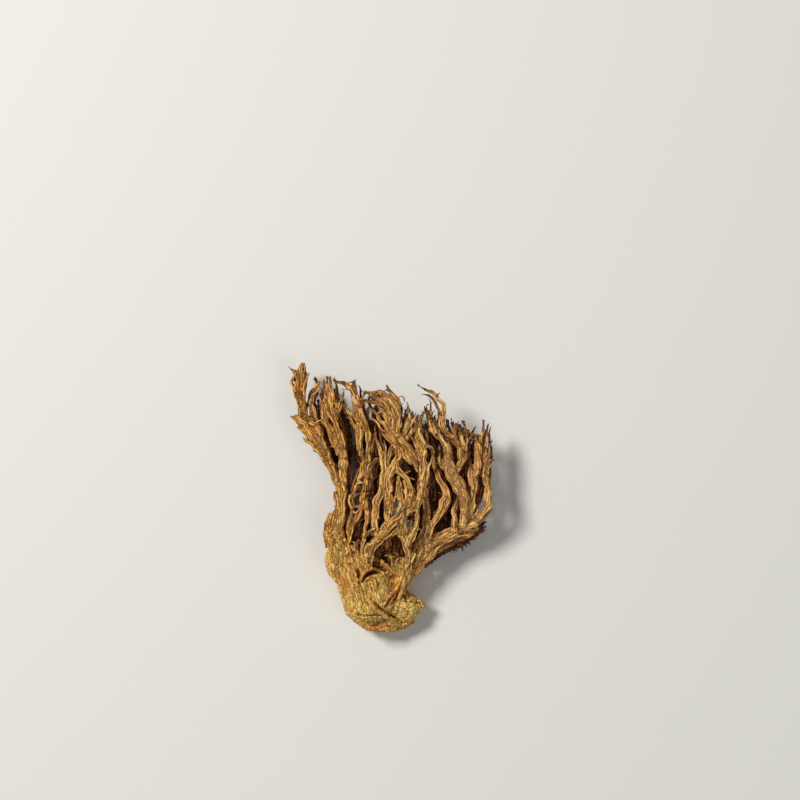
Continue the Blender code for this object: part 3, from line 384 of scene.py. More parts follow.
# Low strands between the middle limb and the right limb's elbow.
MIDDLE_THREADS = {
    "mid_thread": [(2.6, -3, 4, 2), (3.6, 2, 4.8, 2), (4.2, 6.6, 5.4, 1.8), (4.2, 11, 5.8, 1.2)],
    "mid_thread_2": [(3.4, -8, 3.6, 1.8), (5, -3, 4.2, 1.8), (5.6, 2.6, 5, 1.8), (5.8, 8, 5.6, 1.6),
                     (5.4, 12.4, 6, 1)],
}
# Threads and flaps that rise from the stem beside the pocket.
STEM_CURLS = {
    "hook": [(1.4, -22, 7.4, 1.3), (0.5, -20.5, 9, 1), (-0.1, -19, 10.4, 0.85), (-0.35, -17.5, 11.4, 0.75),
             (-0.8, -16.4, 11.9, 0.7), (-1.7, -16, 12, 0.65), (-2.8, -16.3, 11.6, 0.4)],
    "stub": [(0.6, -21.6, 7.6, 1.4), (-0.5, -20.2, 9, 1.1), (-1.6, -19, 10, 0.95), (-2.6, -18, 10.6, 0.85),
             (-3.7, -17.4, 10.8, 0.45)],
    "low_stub": [(-0.2, -22, 7.6, 1.2), (-1.1, -20.7, 8.7, 0.95), (-2.4, -19.5, 9.4, 0.8),
                 (-4.1, -18.8, 9.7, 0.4)],
    "flange": [(2.2, -23, 7, 2.4), (2, -20.6, 8.2, 2.5), (2.2, -18.4, 9.4, 2.2), (2.9, -16.2, 10.6, 1.4)],
    "flange_edge": [(1.6, -21.4, 7.8, 1.2), (1, -19.6, 9.2, 1), (1, -17.8, 10.4, 0.9),
                    (1.8, -16.2, 11.2, 0.6)],
}
# Small forms on the stem, (x, y, height over the stem's top, width).
STEM_DETAIL = {
    "rim": [(-4.8, -20, 0.2, 0.8), (-6, -20, 0.5, 1), (-7.4, -20.6, 0.6, 1.1), (-8.6, -21.8, 0.4, 1.1),
            (-9, -23.4, 0, 0.8)],
    "curl": [(-7.8, -23, 0.1, 0.8), (-6.6, -22.2, 0.5, 1), (-5.3, -22.6, 0.7, 1), (-4.7, -24, 0.6, 0.9),
             (-5.2, -25.8, 0.1, 0.7)],
    "straw": [(3.2, -19.6, 0.4, 1.3), (2.4, -22.4, 0.5, 1.4), (1.2, -25.2, 0.5, 1.3),
              (-0.2, -27.6, 0.5, 1.2), (-1.8, -30, 0.1, 0.8)],
    "second_straw": [(5, -19.6, 0.4, 1.5), (4.2, -22, 0.5, 1.6), (3.1, -24.6, 0.6, 1.5),
                     (2.1, -26.8, 0.5, 1.3), (1.2, -28.8, 0, 0.8)],
    "low_straw": [(2, -23.4, 0.2, 0.9), (0.4, -25.6, 0.3, 1), (-1.2, -27.8, 0.3, 0.9),
                  (-2.6, -29.8, 0, 0.6)],
    "lip": [(-9.6, -34.6, -1.4, 1.1), (-6.8, -36, -1.6, 1.4), (-3.2, -36.7, -1.8, 1.6),
            (0.6, -36.6, -1.8, 1.6), (3.8, -35.8, -1.4, 1.4), (6.2, -34.8, -0.8, 1)],
    "lobe_edge": [(4, -26.9, -0.8, 0.8), (5.2, -27.8, -0.5, 0.9), (6.8, -28.6, -0.6, 0.9),
                  (8.2, -29.7, -0.8, 0.9), (8.6, -31.2, -1, 0.7)],
    "fold_edge": [(-7.6, -28, 0.1, 0.9), (-5.6, -29.8, 0.4, 1.3), (-3.6, -31.8, 0.5, 1.4),
                  (-1.2, -33.4, 0.4, 1.4), (1.2, -34.8, 0.2, 1.1)],
}
# Hollows of the stem's skin, (x, y, depth, width).
SKIN_HOLLOWS = {
    "pocket": [(-8.4, -23.4, 0.4, 0.8), (-7.9, -22.1, 1.2, 1.1), (-7, -21.3, 1.7, 1.3),
               (-5.8, -20.9, 1.8, 1.4), (-4.4, -20.8, 1.3, 1.2), (-3, -21, 0.5, 0.9)],
    "notch": [(-5.8, -18.6, 1.8, 1.2), (-4.8, -18.7, 2.8, 2), (-3.4, -19.6, 3, 1.9), (-2.2, -20.4, 2, 1.2)],
    "crease": [(-6.2, -28, 0.2, 0.7), (-4.6, -29.6, 0.7, 0.9), (-2.8, -31.3, 1.1, 0.9),
               (-1.2, -32.6, 1.1, 0.9), (0.6, -33.8, 1, 0.9), (2.6, -35.2, 0.6, 0.8)],
    "side_crease": [(-2, -30.3, 0.6, 0.7), (-0.7, -28.4, 0.8, 0.8), (0.8, -26.6, 0.7, 0.8),
                    (2.3, -25, 0.3, 0.6)],
    "low_fold": [(-11.4, -31.8, 0.3, 0.7), (-9.4, -32.6, 0.7, 0.8), (-7.2, -32.9, 0.8, 0.9),
                 (-5, -32.7, 0.8, 0.8), (-3, -32.8, 0.6, 0.7)],
    "lobe_top": [(2.9, -27.2, 0.7, 0.8), (3.6, -28.6, 0.9, 0.9), (4, -29.8, 0.4, 0.7)],
    "lobe_side": [(4, -27.8, 0.6, 0.7), (5, -29, 0.8, 0.8), (6.6, -29.6, 0.7, 0.7), (8, -29.5, 0.3, 0.6)],
    "straw_gap": [(3.8, -19.4, 0.6, 0.6), (3.2, -22, 0.9, 0.7), (2, -25.2, 1, 0.7), (0.9, -27.6, 0.8, 0.7),
                  (-0.4, -29.8, 0.4, 0.6)],
    "upper_fold": [(-9.8, -18.4, 0.2, 0.6), (-9.6, -21, 0.6, 0.8), (-9.4, -23.4, 0.5, 0.7),
                   (-8, -26.4, 0.1, 0.6)],
}
# Ridges that come down from the limbs' feet over the stem: (x, y) at the top and at the foot, and width.
STEM_RIDGES = [
    ((-18.6, -9), (-13.8, -24.5), 1.9), ((-17.6, -9.6), (-12.8, -27.5), 1.7),
    ((-16.6, -9), (-11.8, -25.5), 1.9), ((-15.4, -9.6), (-10.6, -28.6), 1.6),
    ((-14.2, -10), (-9.4, -26), 1.8), ((-12.6, -11.6), (-8.6, -29), 1.5),
    ((-11.2, -13), (-7.6, -27), 1.7), ((-9.6, -14.4), (-9, -20.4), 1.5),
    ((-8.2, -15.4), (-8, -19.6), 1.4), ((-7, -15.4), (-6.8, -19), 1.3),
    ((1.2, -20.4), (-1.8, -27), 1.4), ((4.4, -18.6), (0.8, -27), 1.5),
    ((5.8, -18), (3.4, -24), 1.5), ((7, -17.6), (5.2, -21.6), 1.3),
]


def world(rows):
    """Rows of (x, y, height, width) moved from the routes' frame to the object's, still in millimetres."""
    made = np.array(rows, float)
    made[:, 0] -= CENTRE_X
    made[:, 1] -= CENTRE_Y
    return made


def read_rows(rows, known, at):
    """Rows that are known at some places, read at others."""
    return np.stack([np.interp(at, known, column) for column in rows.T], axis=1)


def even(rows, spacing):
    """The rows read again, evenly, from a Catmull-Rom curve through them, and the curve's length."""
    p = np.vstack([2 * rows[0] - rows[1], rows, 2 * rows[-1] - rows[-2]])
    t = np.linspace(0, 1, 9)[:-1, None]
    made = []
    for a, b, c, d in zip(p, p[1:], p[2:], p[3:]):
        made.append(0.5 * (2 * b + (c - a) * t + (2 * a - 5 * b + 4 * c - d) * t ** 2
                           + (3 * b - a - 3 * c + d) * t ** 3))
    made = np.vstack([*made, rows[-1:]])
    along = np.concatenate([[0], np.cumsum(np.linalg.norm(np.diff(made[:, :3], axis=0), axis=1))])
    count = max(4, round(along[-1] / spacing))
    return read_rows(made, along, np.linspace(0, along[-1], count + 1)), along[-1]


def across(rows):
    """The level direction across the rows' course, at each of them."""
    side = np.cross(np.gradient(rows[:, :3], axis=0), (0, 0, 1))
    return side / (np.linalg.norm(side, axis=1, keepdims=True) + 1e-9)


def ahead(turn, rise):
    """A step of about 1 mm in a direction given by its compass angle in radians and its rise."""
    return np.array([math.cos(turn), math.sin(turn), rise])


class Strand:
    """One strand: its even rows, how its section is shaped, how red its flesh is and how dark it is drawn,
    painted shade included.
    """

    def __init__(self, rows, dice, flat=FLATNESS, depth=0.16, curl=0.0, lean=0.0, twist=12.0, tip=False,
                 shade=0.0, wander=1.0, swell=0.6, red=0.0):
        self.rows, self.length = even(np.asarray(rows, float), RING)
        s = np.linspace(0, self.length, len(self.rows))
        bends = np.clip(s / 3, 0, 1) * wander * (0.1 + 0.06 * self.rows[:, 3])
        for axis in (0, 1, 2):
            less = 0.5 if axis == 2 else 1
            for length in (dice.uniform(4.5, 8), dice.uniform(2.6, 4)):
                wave = np.sin(math.tau * s / length + dice.uniform(0, math.tau))
                self.rows[:, axis] += bends * wave * less * (1 if length > 4.2 else 0.45)
        self.flat = flat
        self.depth = depth
        self.curl = curl
        self.lean = lean
        self.twist = twist
        self.swell = swell
        self.tip = tip
        self.shade = shade
        self.red = red
        self.turns = [dice.uniform(0, math.tau) for _ in range(6)]
        self.number = dice.random()


def values_of(items, field, width=3):
    """A field of a mesh's items, as rows of numbers."""
    made = np.empty(len(items) * width, np.int32 if field == "vertices" else np.float32)
    items.foreach_get(field, made)
    made = made.reshape(-1, width)
    return made if field == "vertices" else made.astype(float)


def put_points(mesh, points):
    """Moves the mesh's points to new places."""
    mesh.vertices.foreach_set("co", points.astype(np.float32).ravel())
    mesh.update()


def mesh_of(name, bm):
    """A mesh with what an edit mesh holds, which is freed."""
    mesh = bpy.data.meshes.new(name)
    bm.to_mesh(mesh)
    bm.free()
    return mesh


def placed(name, data):
    """A new object in the scene that holds the data."""
    obj = bpy.data.objects.new(name, data)
    bpy.context.scene.collection.objects.link(obj)
    return obj


def sweep(strand):
    """A strand's closed mesh, and for each of its points where it is along and across the strand."""
    rows, length = strand.rows, strand.length
    sides = int(min(MOST_FACETS, max(FEWEST_FACETS, math.pi * rows[:, 3].max() * 0.85 / FACET)))
    bm = bmesh.new()
    bmesh.ops.create_uvsphere(bm, u_segments=sides, v_segments=len(rows), radius=1)
    mesh = mesh_of("strand", bm)
    ball = values_of(mesh.vertices, "co")
    turn = np.arctan2(ball[:, 1], ball[:, 0])
    share = 1 - np.arccos(np.clip(ball[:, 2], -1, 1)) / math.pi
    known = np.arange(len(rows))
    at = share * (len(rows) - 1)
    place = read_rows(rows, known, at)
    tangent = read_rows(np.gradient(rows[:, :3], axis=0), known, at)
    tangent /= np.linalg.norm(tangent, axis=1, keepdims=True)
    side = np.cross(tangent, (0, 0, 1))
    side /= np.linalg.norm(side, axis=1, keepdims=True) + 1e-9
    up = np.cross(side, tangent)
    s = share * length
    p = strand.turns
    swell = 0.1 * np.sin(0.9 * s + p[3]) + 0.07 * np.sin(2.3 * s + p[4])
    wide = place[:, 3] / 2 * (1 + strand.swell * swell)
    ends = np.minimum(s, length - s) / np.maximum(0.9 * wide, 0.2)
    wide = wide * np.sqrt(1 - (1 - np.clip(ends, 0, 1)) ** 2)
    grooves = (0.5 * np.cos(3 * turn + p[0] + 0.22 * s) + 0.4 * np.cos(5 * turn + p[1] - 0.35 * s)
               + 0.35 * np.cos(8 * turn + p[2] + 0.5 * s))
    groove = 1 + strand.depth * grooves
    x = wide * np.cos(turn) * groove
    y = wide * strand.flat * (np.sin(turn) * groove + strand.curl * (np.cos(turn) ** 2 - 0.5))
    lean = np.radians(strand.lean + strand.twist * np.sin(0.35 * s + p[5]))[:, None]
    side, up = side * np.cos(lean) + up * np.sin(lean), up * np.cos(lean) - side * np.sin(lean)
    points = place[:, :3] + side * x[:, None] + up * y[:, None]
    put_points(mesh, points)
    return mesh, {
        "points": points,
        "tangent": tangent,
        "side": side,
        "up": up,
        "grain": np.stack([s, x, y], axis=1),
        "tip": np.clip((s - length + TIP_LENGTH) / TIP_LENGTH, 0, 1) ** 1.5 * strand.tip,
        "edge": 0.75 * np.abs(np.cos(turn)) ** 3 + strand.red,
        "number": np.full(len(s), strand.number),
        "shade": np.full(len(s), strand.shade),
    }


def companions(rows, dice, tip):
    """Thinner strands that run along a strand's surface and wander off it, so that it reads as a bundle."""
    made = []
    widest = rows[:, 3].max()
    count = 2 if widest < SLENDER else 3 if widest < BROAD else 4
    places = [(off, 1) for off in np.linspace(-0.42, 0.42, count)]
    places += [(off, -1) for off in np.linspace(-0.3, 0.3, count - 1)]
    for place, face in places:
        if widest < SLENDER and dice.random() < 0.4:
            continue
        base, _ = even(rows, 1.6)
        first = int(dice.uniform(0, 0.25) * len(base))
        last = int(dice.uniform(0.72, 1.0) * len(base))
        own = base[first:max(last, first + 4)].copy()
        if len(own) < 4 or widest < NO_BUNDLE:
            continue
        side = across(own)
        off = place + 0.09 * np.sin(0.6 * np.arange(len(own)) + dice.uniform(0, 6))
        drift = np.linspace(0, 1, len(own)) ** 3 * dice.uniform(0, 1.5) * (1 if place > 0 else -1)
        own[:, :3] += side * (off * own[:, 3] + drift)[:, None]
        own[:, 2] += face * 0.6 * FLATNESS * own[:, 3] / 2 * np.sqrt(np.clip(1 - (2 * off) ** 2, 0, 1))
        own[:, 3] = own[:, 3] * dice.uniform(0.5, 0.85) / count + 0.24
        own[-1, 3] = min(own[-1, 3], 0.5)
        made.append(Strand(own, dice, depth=0.2, curl=dice.uniform(-0.4, 0.4), lean=dice.uniform(-40, 40),
                           twist=25, tip=tip))
    return made


def under(rows, dice):
    """A strand that runs below a front one, to one side of it, drawn darker as painted shade."""
    base, length = even(rows, 3.5)
    if length < 12:
        return []
    own = base[max(0, int(0.12 * len(base))):].copy()
    side = across(own)
    grow = np.clip(np.linspace(0, 3, len(own)), 0, 1)
    own[:, :3] += side * (dice.choice((-1, 1)) * dice.uniform(0.7, 1.3) * grow)[:, None]
    own[:, 2] -= dice.uniform(2.4, 3.8) * grow
    own[:, 3] = np.clip(own[:, 3] * 0.75, 0.8, 1.6)
    own[-1, 3] = 0.5
    return [Strand(own, dice, lean=dice.uniform(-40, 40), depth=0.18, twist=20, tip=True, shade=0.8)]


def tines(rows, dice, count, fray=1.0):
    """The short prongs that a strand's end splits into."""
    made = []
    base, _ = even(rows, 0.8)
    end = base[-1]
    course = (end - base[-3])[:3]
    course /= np.linalg.norm(course)
    heading = math.atan2(course[1], course[0])
    for k in range(count):
        turn = heading + math.radians((k - (count - 1) / 2) * dice.uniform(14, 40) + dice.uniform(-12, 12))
        rise = course[2] + dice.uniform(-0.3, 0.4)
        reach = dice.uniform(0.6, 2.0) * fray
        bend = dice.uniform(-1.1, 1.1)
        foot = base[-dice.randint(2, 4)][:3]
        middle = end[:3] + ahead(turn, rise) * reach * 0.45
        last = middle + ahead(turn + bend, rise) * reach * 0.6
        wide = max(0.5, min(0.95, end[3] * 0.8))
        prong = [(*foot, wide), (*middle, 0.85 * wide), (*last, dice.uniform(0.3, 0.6))]
        made.append(Strand(prong, dice, depth=0.2, tip=True))
    return made


def twigs(rows, dice, every):
    """Small curled twigs and torn fibres along a strand."""
    made = []
    base, _ = even(rows, 1.0)
    at = dice.uniform(2, every)
    while at < len(base) - 4:
        here, after = base[int(at)], base[int(at) + 1]
        heading = math.atan2(after[1] - here[1], after[0] - here[0])
        turn = heading + dice.choice((-1, 1)) * dice.uniform(0.25, 0.8)
        reach = dice.uniform(1.8, 4.6)
        bend = dice.uniform(-1.2, 1.2)
        points = [here[:3] + (0, 0, 0.1 * here[3])]
        for _ in range(4):
            points.append(points[-1] + ahead(turn, dice.uniform(-0.2, 0.35)) * reach / 4)
            turn += bend
        wide = dice.uniform(0.45, 0.75)
        twig = [(*point, wide * share) for point, share in zip(points, (1.3, 1, 0.9, 0.8, 0.5))]
        made.append(Strand(twig, dice, depth=0.12, tip=True, wander=0.3))
        at += dice.uniform(0.6, 1.4) * every
    return made


def frizz(rows, dice, count, first, last, spread=0.0):
    """Short curled threads that stand out along a strand, each headed between two angles in degrees.

    They start on the strand, or up to a distance from it on the side that they head to."""
    made = []
    base, _ = even(rows, 0.5)
    middle = math.radians((first + last) / 2)
    for _ in range(count):
        here = base[dice.randrange(2, len(base) - 2)]
        turn = dice.uniform(math.radians(first), math.radians(last))
        bend = dice.choice((-1, 1)) * dice.uniform(0.3, 1.3)
        rise = dice.uniform(-0.4, 0.7)
        away = spread * dice.random()
        points = [here[:3] + (away * math.cos(middle), away * math.sin(middle), -0.2 * away)]
        for _ in range(4):
            points.append(points[-1] + ahead(turn, rise) * dice.uniform(0.3, 0.6))
            turn += bend
            rise += dice.uniform(-0.5, 0.4)
        thread = [(*point, width) for point, width in zip(points, (0.7, 0.58, 0.5, 0.44, 0.36))]
        made.append(Strand(thread, dice, depth=0.1, wander=0))
    return made


def limb(routes, seed, twig_spacing, shade=0.0, red=0.0, tips=1.0, widen=WIDEN, with_under=True):
    """All the strands of a limb, from its routes."""
    dice = random.Random(seed)
    made = []
    for name, route in routes.items():
        rows = world(route)
        rows[:, 3] *= widen * (FRINGE_WIDEN if name.startswith("fringe") else SLIM.get(name, 1))
        if name.startswith("fringe"):
            rows = rows[:dice.choice((-1, -2))]
            rows[:, 3] *= 0.6
        first = len(made)
        tip = name.split(".")[0] not in JOINED
        core = rows.copy()
        core[:, 3] *= np.interp(core[:, 3], (1.4, 2.6), (0.97, 0.95))
        made.append(Strand(core, dice, depth=0.13, curl=dice.uniform(-0.5, 0.7), lean=dice.uniform(-26, 26),
                           tip=tip, shade=shade))
        if name in SMOOTH:
            continue
        made += companions(rows, dice, tip)
        if tip:
            short = routes is LEFT_LIMB or name.startswith("fringe")
            made += tines(rows, dice, dice.choice((2, 3, 3, 4)), 0.6 if short else 1)
            if with_under:
                made += under(rows, dice)
        made += twigs(rows, dice, twig_spacing)
        if name == "trunk.fringe":
            made += frizz(rows, dice, FRINGE_THREADS, *FRINGE_HEADINGS, FRINGE_REACH)
            made += twigs(rows, dice, FRINGE_TWIG_SPACING)
            made[first].depth = FRINGE_DEPTH
            made[first].rows[:, 3] *= 0.8
        if "fringe" in name:
            for strand in made[first:]:
                strand.red = RAGGED_RED
                strand.shade -= dice.uniform(0, 0.5)
        for strand in made[first:]:
            strand.shade -= PALER.get(name, 0)
        if name == "crest" and routes is RIGHT_LIMB:
            made += frizz(rows, dice, CREST_THREADS, *CREST_HEADINGS)
            for strand in made[first:]:
                strand.red = RAGGED_RED
                strand.shade = CREST_SHADE
    for strand in made:
        strand.shade += shade
        strand.red += red
        strand.tip *= tips
    return made


def row_at(rows, share):
    """The row that lies a share of the way along the rows."""
    made, _ = even(np.asarray(rows, float), 1.0)
    return made[min(len(made) - 1, round(share * (len(made) - 1)))]


def fan(plan, seed):
    """A fan's routes: its trunk, and strands that start along the trunk and bend away to their tips."""
    dice = random.Random(seed)
    routes = {"trunk": plan["trunk"]}
    row = [np.array(tip, float) for tip in plan["tips"]]
    last = plan["strands"] - 1
    first_foot, last_foot = plan["feet"]
    for k in range(plan["strands"]):
        place = k / last * (len(row) - 1)
        cell = min(int(place), len(row) - 2)
        tip = row[cell] + (row[cell + 1] - row[cell]) * (place - cell)
        x, y, z, width = row_at(plan["trunk"], first_foot + (last_foot - first_foot) * k / last)
        span = tip - (x, y, z)
        sway = SWAY * np.linalg.norm(span)
        rows = [(x, y, z, min(FAN_WIDTH, 0.6 * width))]
        for share, lean in ((0.3, 0.18), (0.6, 0.55), (0.82, 0.8)):
            rows.append((x + lean * span[0] + dice.uniform(-sway, sway),
                         y + share * span[1] + dice.uniform(-sway, sway),
                         z + share * span[2] + dice.uniform(-sway, sway),
                         FAN_WIDTH * (1 - 0.5 * share)))
        routes[f"strand_{k}"] = [*rows, (*tip, 0.3 * FAN_WIDTH)]
    return routes


def threads(plan, seed):
    """Thinner strands between and over a fan's own."""
    routes = {}
    feet = [0.05 if share == min(plan["feet"]) else share for share in plan["feet"]]
    for name, rows in fan({**plan, "strands": THREADS, "feet": feet}, seed).items():
        if name != "trunk":
            lift = np.interp(np.arange(len(rows)), (0, 1.5, len(rows) - 1), (0, THREAD_LIFT, 0))
            routes[f"thread_{name}"] = [(x, y, z + up, THREAD_SHARE * width)
                                        for (x, y, z, width), up in zip(rows, lift)]
    return routes


def fringe(plan, seed):
    """The fringe's routes, under names that tell them from the strands of the limb that it grows on."""
    routes = {}
    for name, route in fan(plan, seed).items():
        routes[f"{name}.fringe" if name == "trunk" else f"fringe_{name}"] = route
    return routes


FRONT = {
    "left_limb": LEFT_LIMB,
    "inner_limb": INNER_LIMB,
    "middle_limb": MIDDLE_LIMB,
    "forked_limb": FORKED_LIMB,
    "right_limb": RIGHT_LIMB,
}
BACK = {
    "back_left_limb": {**fan(BACK_LEFT, seed=3), **threads(BACK_LEFT, seed=13), **LOW_THREADS},
    "back_middle_limb": {**fan(BACK_MIDDLE, seed=5), "web": BACK_WEB, **threads(BACK_MIDDLE, seed=15),
                         **MIDDLE_THREADS},
    "back_right_limb": {**fan(BACK_RIGHT, seed=7), **threads(BACK_RIGHT, seed=17),
                        **fringe(FRINGE, seed=9)},
}


def laid(rows, bodies):
    """Rows whose height counts from the top of the stem's bodies."""
    made = world(rows)
    for row in made:
        flat = np.hypot(bodies[:, 0] - row[0], bodies[:, 1] - row[1])
        half = bodies[:, 3] / 2
        top = bodies[:, 2] + STEM_FLATNESS * np.sqrt(np.clip(half ** 2 - flat ** 2, 0, None))
        top[flat > half] = OUTSIDE_TOP
        row[2] += top.max()
    return made


def stem_strands():
    """The stem's bodies, the small things on it and the ridges that run down it."""
    dice = random.Random(STEM_SEED)
    made = []
    for name, route in STEM.items():
        made.append(Strand(world(route), dice, flat=STEM_FLATNESS, depth=0.03, twist=0, wander=0, swell=0,
                           red=-0.1 if name == "heel" else -0.6, shade=-PALER.get(name, 0)))
    feet = (LEFT_LIMB["trunk"], LEFT_LIMB["fold"], INNER_LIMB["root"], MIDDLE_LIMB["trunk"],
            RIGHT_LIMB["trunk"])
    bodies = np.vstack([strand.rows for strand in made] + [even(world(route), RING)[0] for route in feet])
    for (top_x, top_y), (foot_x, foot_y), width in STEM_RIDGES:
        rows = []
        for t in np.linspace(0, 1, 7):
            x = top_x + (foot_x - top_x) * t + 0.5 * math.sin(4 * t + width * 7)
            rows.append((x, top_y + (foot_y - top_y) * t, -(0.1 + 0.2 * t) * width, width * (1 - 0.4 * t)))
        made.append(Strand(laid(rows, bodies), dice, depth=0.14, curl=dice.uniform(-0.3, 0.3), twist=10,
                           wander=1.4))
    for name, rows in STEM_DETAIL.items():
        red = 0.3 if name == "lip" or "straw" in name else 0
        made.append(Strand(laid(rows, bodies), dice, depth=0.16, wander=0.4, red=red))
    for rows in STEM_CURLS.values():
        made.append(Strand(world(rows), dice, depth=0.12, wander=0.3, shade=-0.3))
    return made


@functools.cache
def all_strands():
    """Every piece's strands."""
    made = {"stem": stem_strands()}
    for k, (name, routes) in enumerate(FRONT.items()):
        shade, red, tips = TINTS[name]
        made[name] = limb(routes, FRONT_SEED + k, TWIG_SPACING, shade, red, tips)
    for name, routes in BACK.items():
        made[name] = limb(routes, name, BACK_TWIG_SPACING, BACK_SHADE, widen=BACK_WIDEN, with_under=False)
    return made


def cells(points, above=0):
    """The grid's cells that points lie in, or the ones above those."""
    axes = points.shape[1]
    at = (points - GRID_START[:axes]) / CELL + np.array((0, 0, above))[:axes]
    return tuple(np.clip(at.astype(int), 0, np.array(GRID_CELLS[:axes]) - 1).T)


def mixed(grid, reach, mix):
    """The grid with each cell mixed with the ones beside it, up to a reach."""
    for axis in (0, 1):
        grid = mix([np.roll(grid, shift, axis) for shift in range(-reach, reach + 1)], axis=0)
    return grid


@functools.cache
def flesh_above():
    """The thickness of the flesh in each of the grid's cells and above it."""
    grid = np.zeros(GRID_CELLS)
    for strand in sum(all_strands().values(), []):
        step = strand.length / len(strand.rows)
        volume = math.pi / 4 * strand.rows[:, 3] ** 2 * strand.flat * step
        np.add.at(grid, cells(strand.rows[:, :3]), volume)
    for _ in range(3):
        grid = mixed(grid, 2, np.mean)
    return np.cumsum(grid[:, :, ::-1], axis=2)[:, :, ::-1] / CELL ** 2


@functools.cache
def tops():
    """The height of the highest strand near each of the grid's columns."""
    grid = np.zeros(GRID_CELLS[:2])
    for strand in sum(all_strands().values(), []):
        top = strand.rows[:, 2] + strand.flat * strand.rows[:, 3] / 2
        np.maximum.at(grid, cells(strand.rows[:, :2]), top)
    return mixed(mixed(grid, TOP_REACH, np.max), 1, np.mean)


def covered(points):
    """How much flesh lies over each point: 0 in the open and 1 deep under other strands."""
    return np.clip((flesh_above()[cells(points, above=1)] - 0.3) / 1.7, 0, 1)


def sunken(points):
    """How far each point lies below the highest strand near it."""
    return tops()[cells(points[:, :2])] - points[:, 2]


def near_mean(ends, values):
    """The mean of each point's neighbours, from the ends of the edges."""
    count = len(values)
    first, second = ends.T
    total = np.stack([np.bincount(first, column[second], count) + np.bincount(second, column[first], count)
                      for column in values.T], axis=1)
    near = np.bincount(ends.ravel(), minlength=count)[:, None]
    return total / np.maximum(near, 1)


def smoothed(ends, points, factors):
    """The points moved towards the mean of their neighbours, or away from it, once for each factor."""
    for factor in factors:
        points = points + factor * (near_mean(ends, points) - points)
    return points


def keep_main(mesh):
    """Leaves out what the skin caught of strands that touch nothing."""
    bm = bmesh.new()
    bm.from_mesh(mesh)
    left = set(bm.verts)
    islands = []
    while left:
        start = left.pop()
        island, rim = [start], [start]
        while rim:
            near = {edge.other_vert(vert) for vert in rim for edge in vert.link_edges} & left
            left -= near
            island += near
            rim = list(near)
        islands.append(island)
    islands.sort(key=len)
    loose = [vert for island in islands[:-1] for vert in island]
    bmesh.ops.delete(bm, geom=loose, context="VERTS")
    bm.to_mesh(mesh)
    bm.free()


def joined(name, strands):
    """An object that holds the strands, each closed by itself, and what is known of their points."""
    whole = bmesh.new()
    parts = []
    for strand in strands:
        mesh, facts = sweep(strand)
        whole.from_mesh(mesh)
        bpy.data.meshes.remove(mesh)
        parts.append(facts)
    bmesh.ops.recalc_face_normals(whole, faces=whole.faces)
    obj = placed(name, mesh_of(name, whole))
    return obj, {key: np.concatenate([part[key] for part in parts]) for key in parts[0]}


def skinned(obj, finest):
    """One closed skin over all of the object's strands, in their place."""
    mesh = obj.data
    remesh = obj.modifiers.new("skin", "REMESH")
    remesh.mode = "VOXEL"
    remesh.voxel_size = finest
    skin = bpy.data.meshes.new_from_object(obj.evaluated_get(bpy.context.evaluated_depsgraph_get()))
    if not skin.vertices:
        raise RuntimeError(f"{obj.name} has no skin: its strands are finer than the skin's finest form")
    obj.modifiers.clear()
    obj.data = skin
    bpy.data.meshes.remove(mesh)
    keep_main(skin)
    return skin


def nearest(known, points):
    """Which of the known points is nearest to each point."""
    tree = kdtree.KDTree(len(known))
    for k, point in enumerate(known):
        tree.insert(point, k)
    tree.balance()
    return np.array([tree.find(point)[1] for point in points])


def wrinkled(grain, number, height):
    """How far lengthwise wrinkles and cracks lift each point of the strands."""
    fine = []
    for (s, x, y), shift in zip(grain, number * 91):
        fine.append((noise.noise(Vector((0.13 * s + shift, x + shift, y))),
                     noise.noise(Vector((0.3 * s, 2.2 * x, 2.2 * y + shift)))))
    fine = np.array(fine)
    cracks = np.clip(1 - np.abs(fine) / 0.14, 0, 1)
    return height * (0.8 * fine[:, 0] + 0.7 * fine[:, 1] - 1.5 * cracks[:, 0] - 0.9 * cracks[:, 1])


def pressed(points):
    """How deep the hollows of the stem's skin are at each point."""
    depth = np.zeros(len(points))
    for route in SKIN_HOLLOWS.values():
        rows, _ = even(world(route), 0.3)
        for x, y, deep, width in rows:
            off = np.hypot(points[:, 0] - x, points[:, 1] - y) / (width / 2)
            depth = np.maximum(depth, deep * np.clip(1.15 - off ** 2, 0, 1) * (points[:, 2] > HOLLOWS_FROM))
    return depth


def cracked_skin(points):
    """How far lumps, lengthwise furrows and cracks lift each point of the stem's skin."""
    lift = np.empty(len(points))
    for k, (x, y, z) in enumerate(points):
        near = noise.voronoi(Vector((0.5 * x, 0.42 * y, 0.5 * z)))[0]
        crack = max(0, 1 - (near[1] - near[0]) / 0.11)
        scale = noise.voronoi(Vector((1.25 * x, 0.9 * y, 1.25 * z)))[0]
        low = noise.fractal(Vector((0.26 * x, 0.16 * y, 0.26 * z)), 1.0, 2.0, 4)
        furrow = max(0, 1 - abs(noise.noise(Vector((0.52 * x + 0.1 * y, 0.07 * y, 0.3 * z)))) / 0.12)
        lift[k] = 0.34 * low - 0.18 * crack - 0.28 * furrow + 0.2 * min(0.5, scale[1] - scale[0])
    return lift


def store(mesh, **values):
    """Keeps values on the mesh's points, for its material to read."""
    for name, rows in values.items():
        kind, field = ("FLOAT", "value") if rows.ndim == 1 else ("FLOAT_VECTOR", "vector")
        made = mesh.attributes.new(name, kind, "POINT")
        made.data.foreach_set(field, rows.astype(np.float32).ravel())


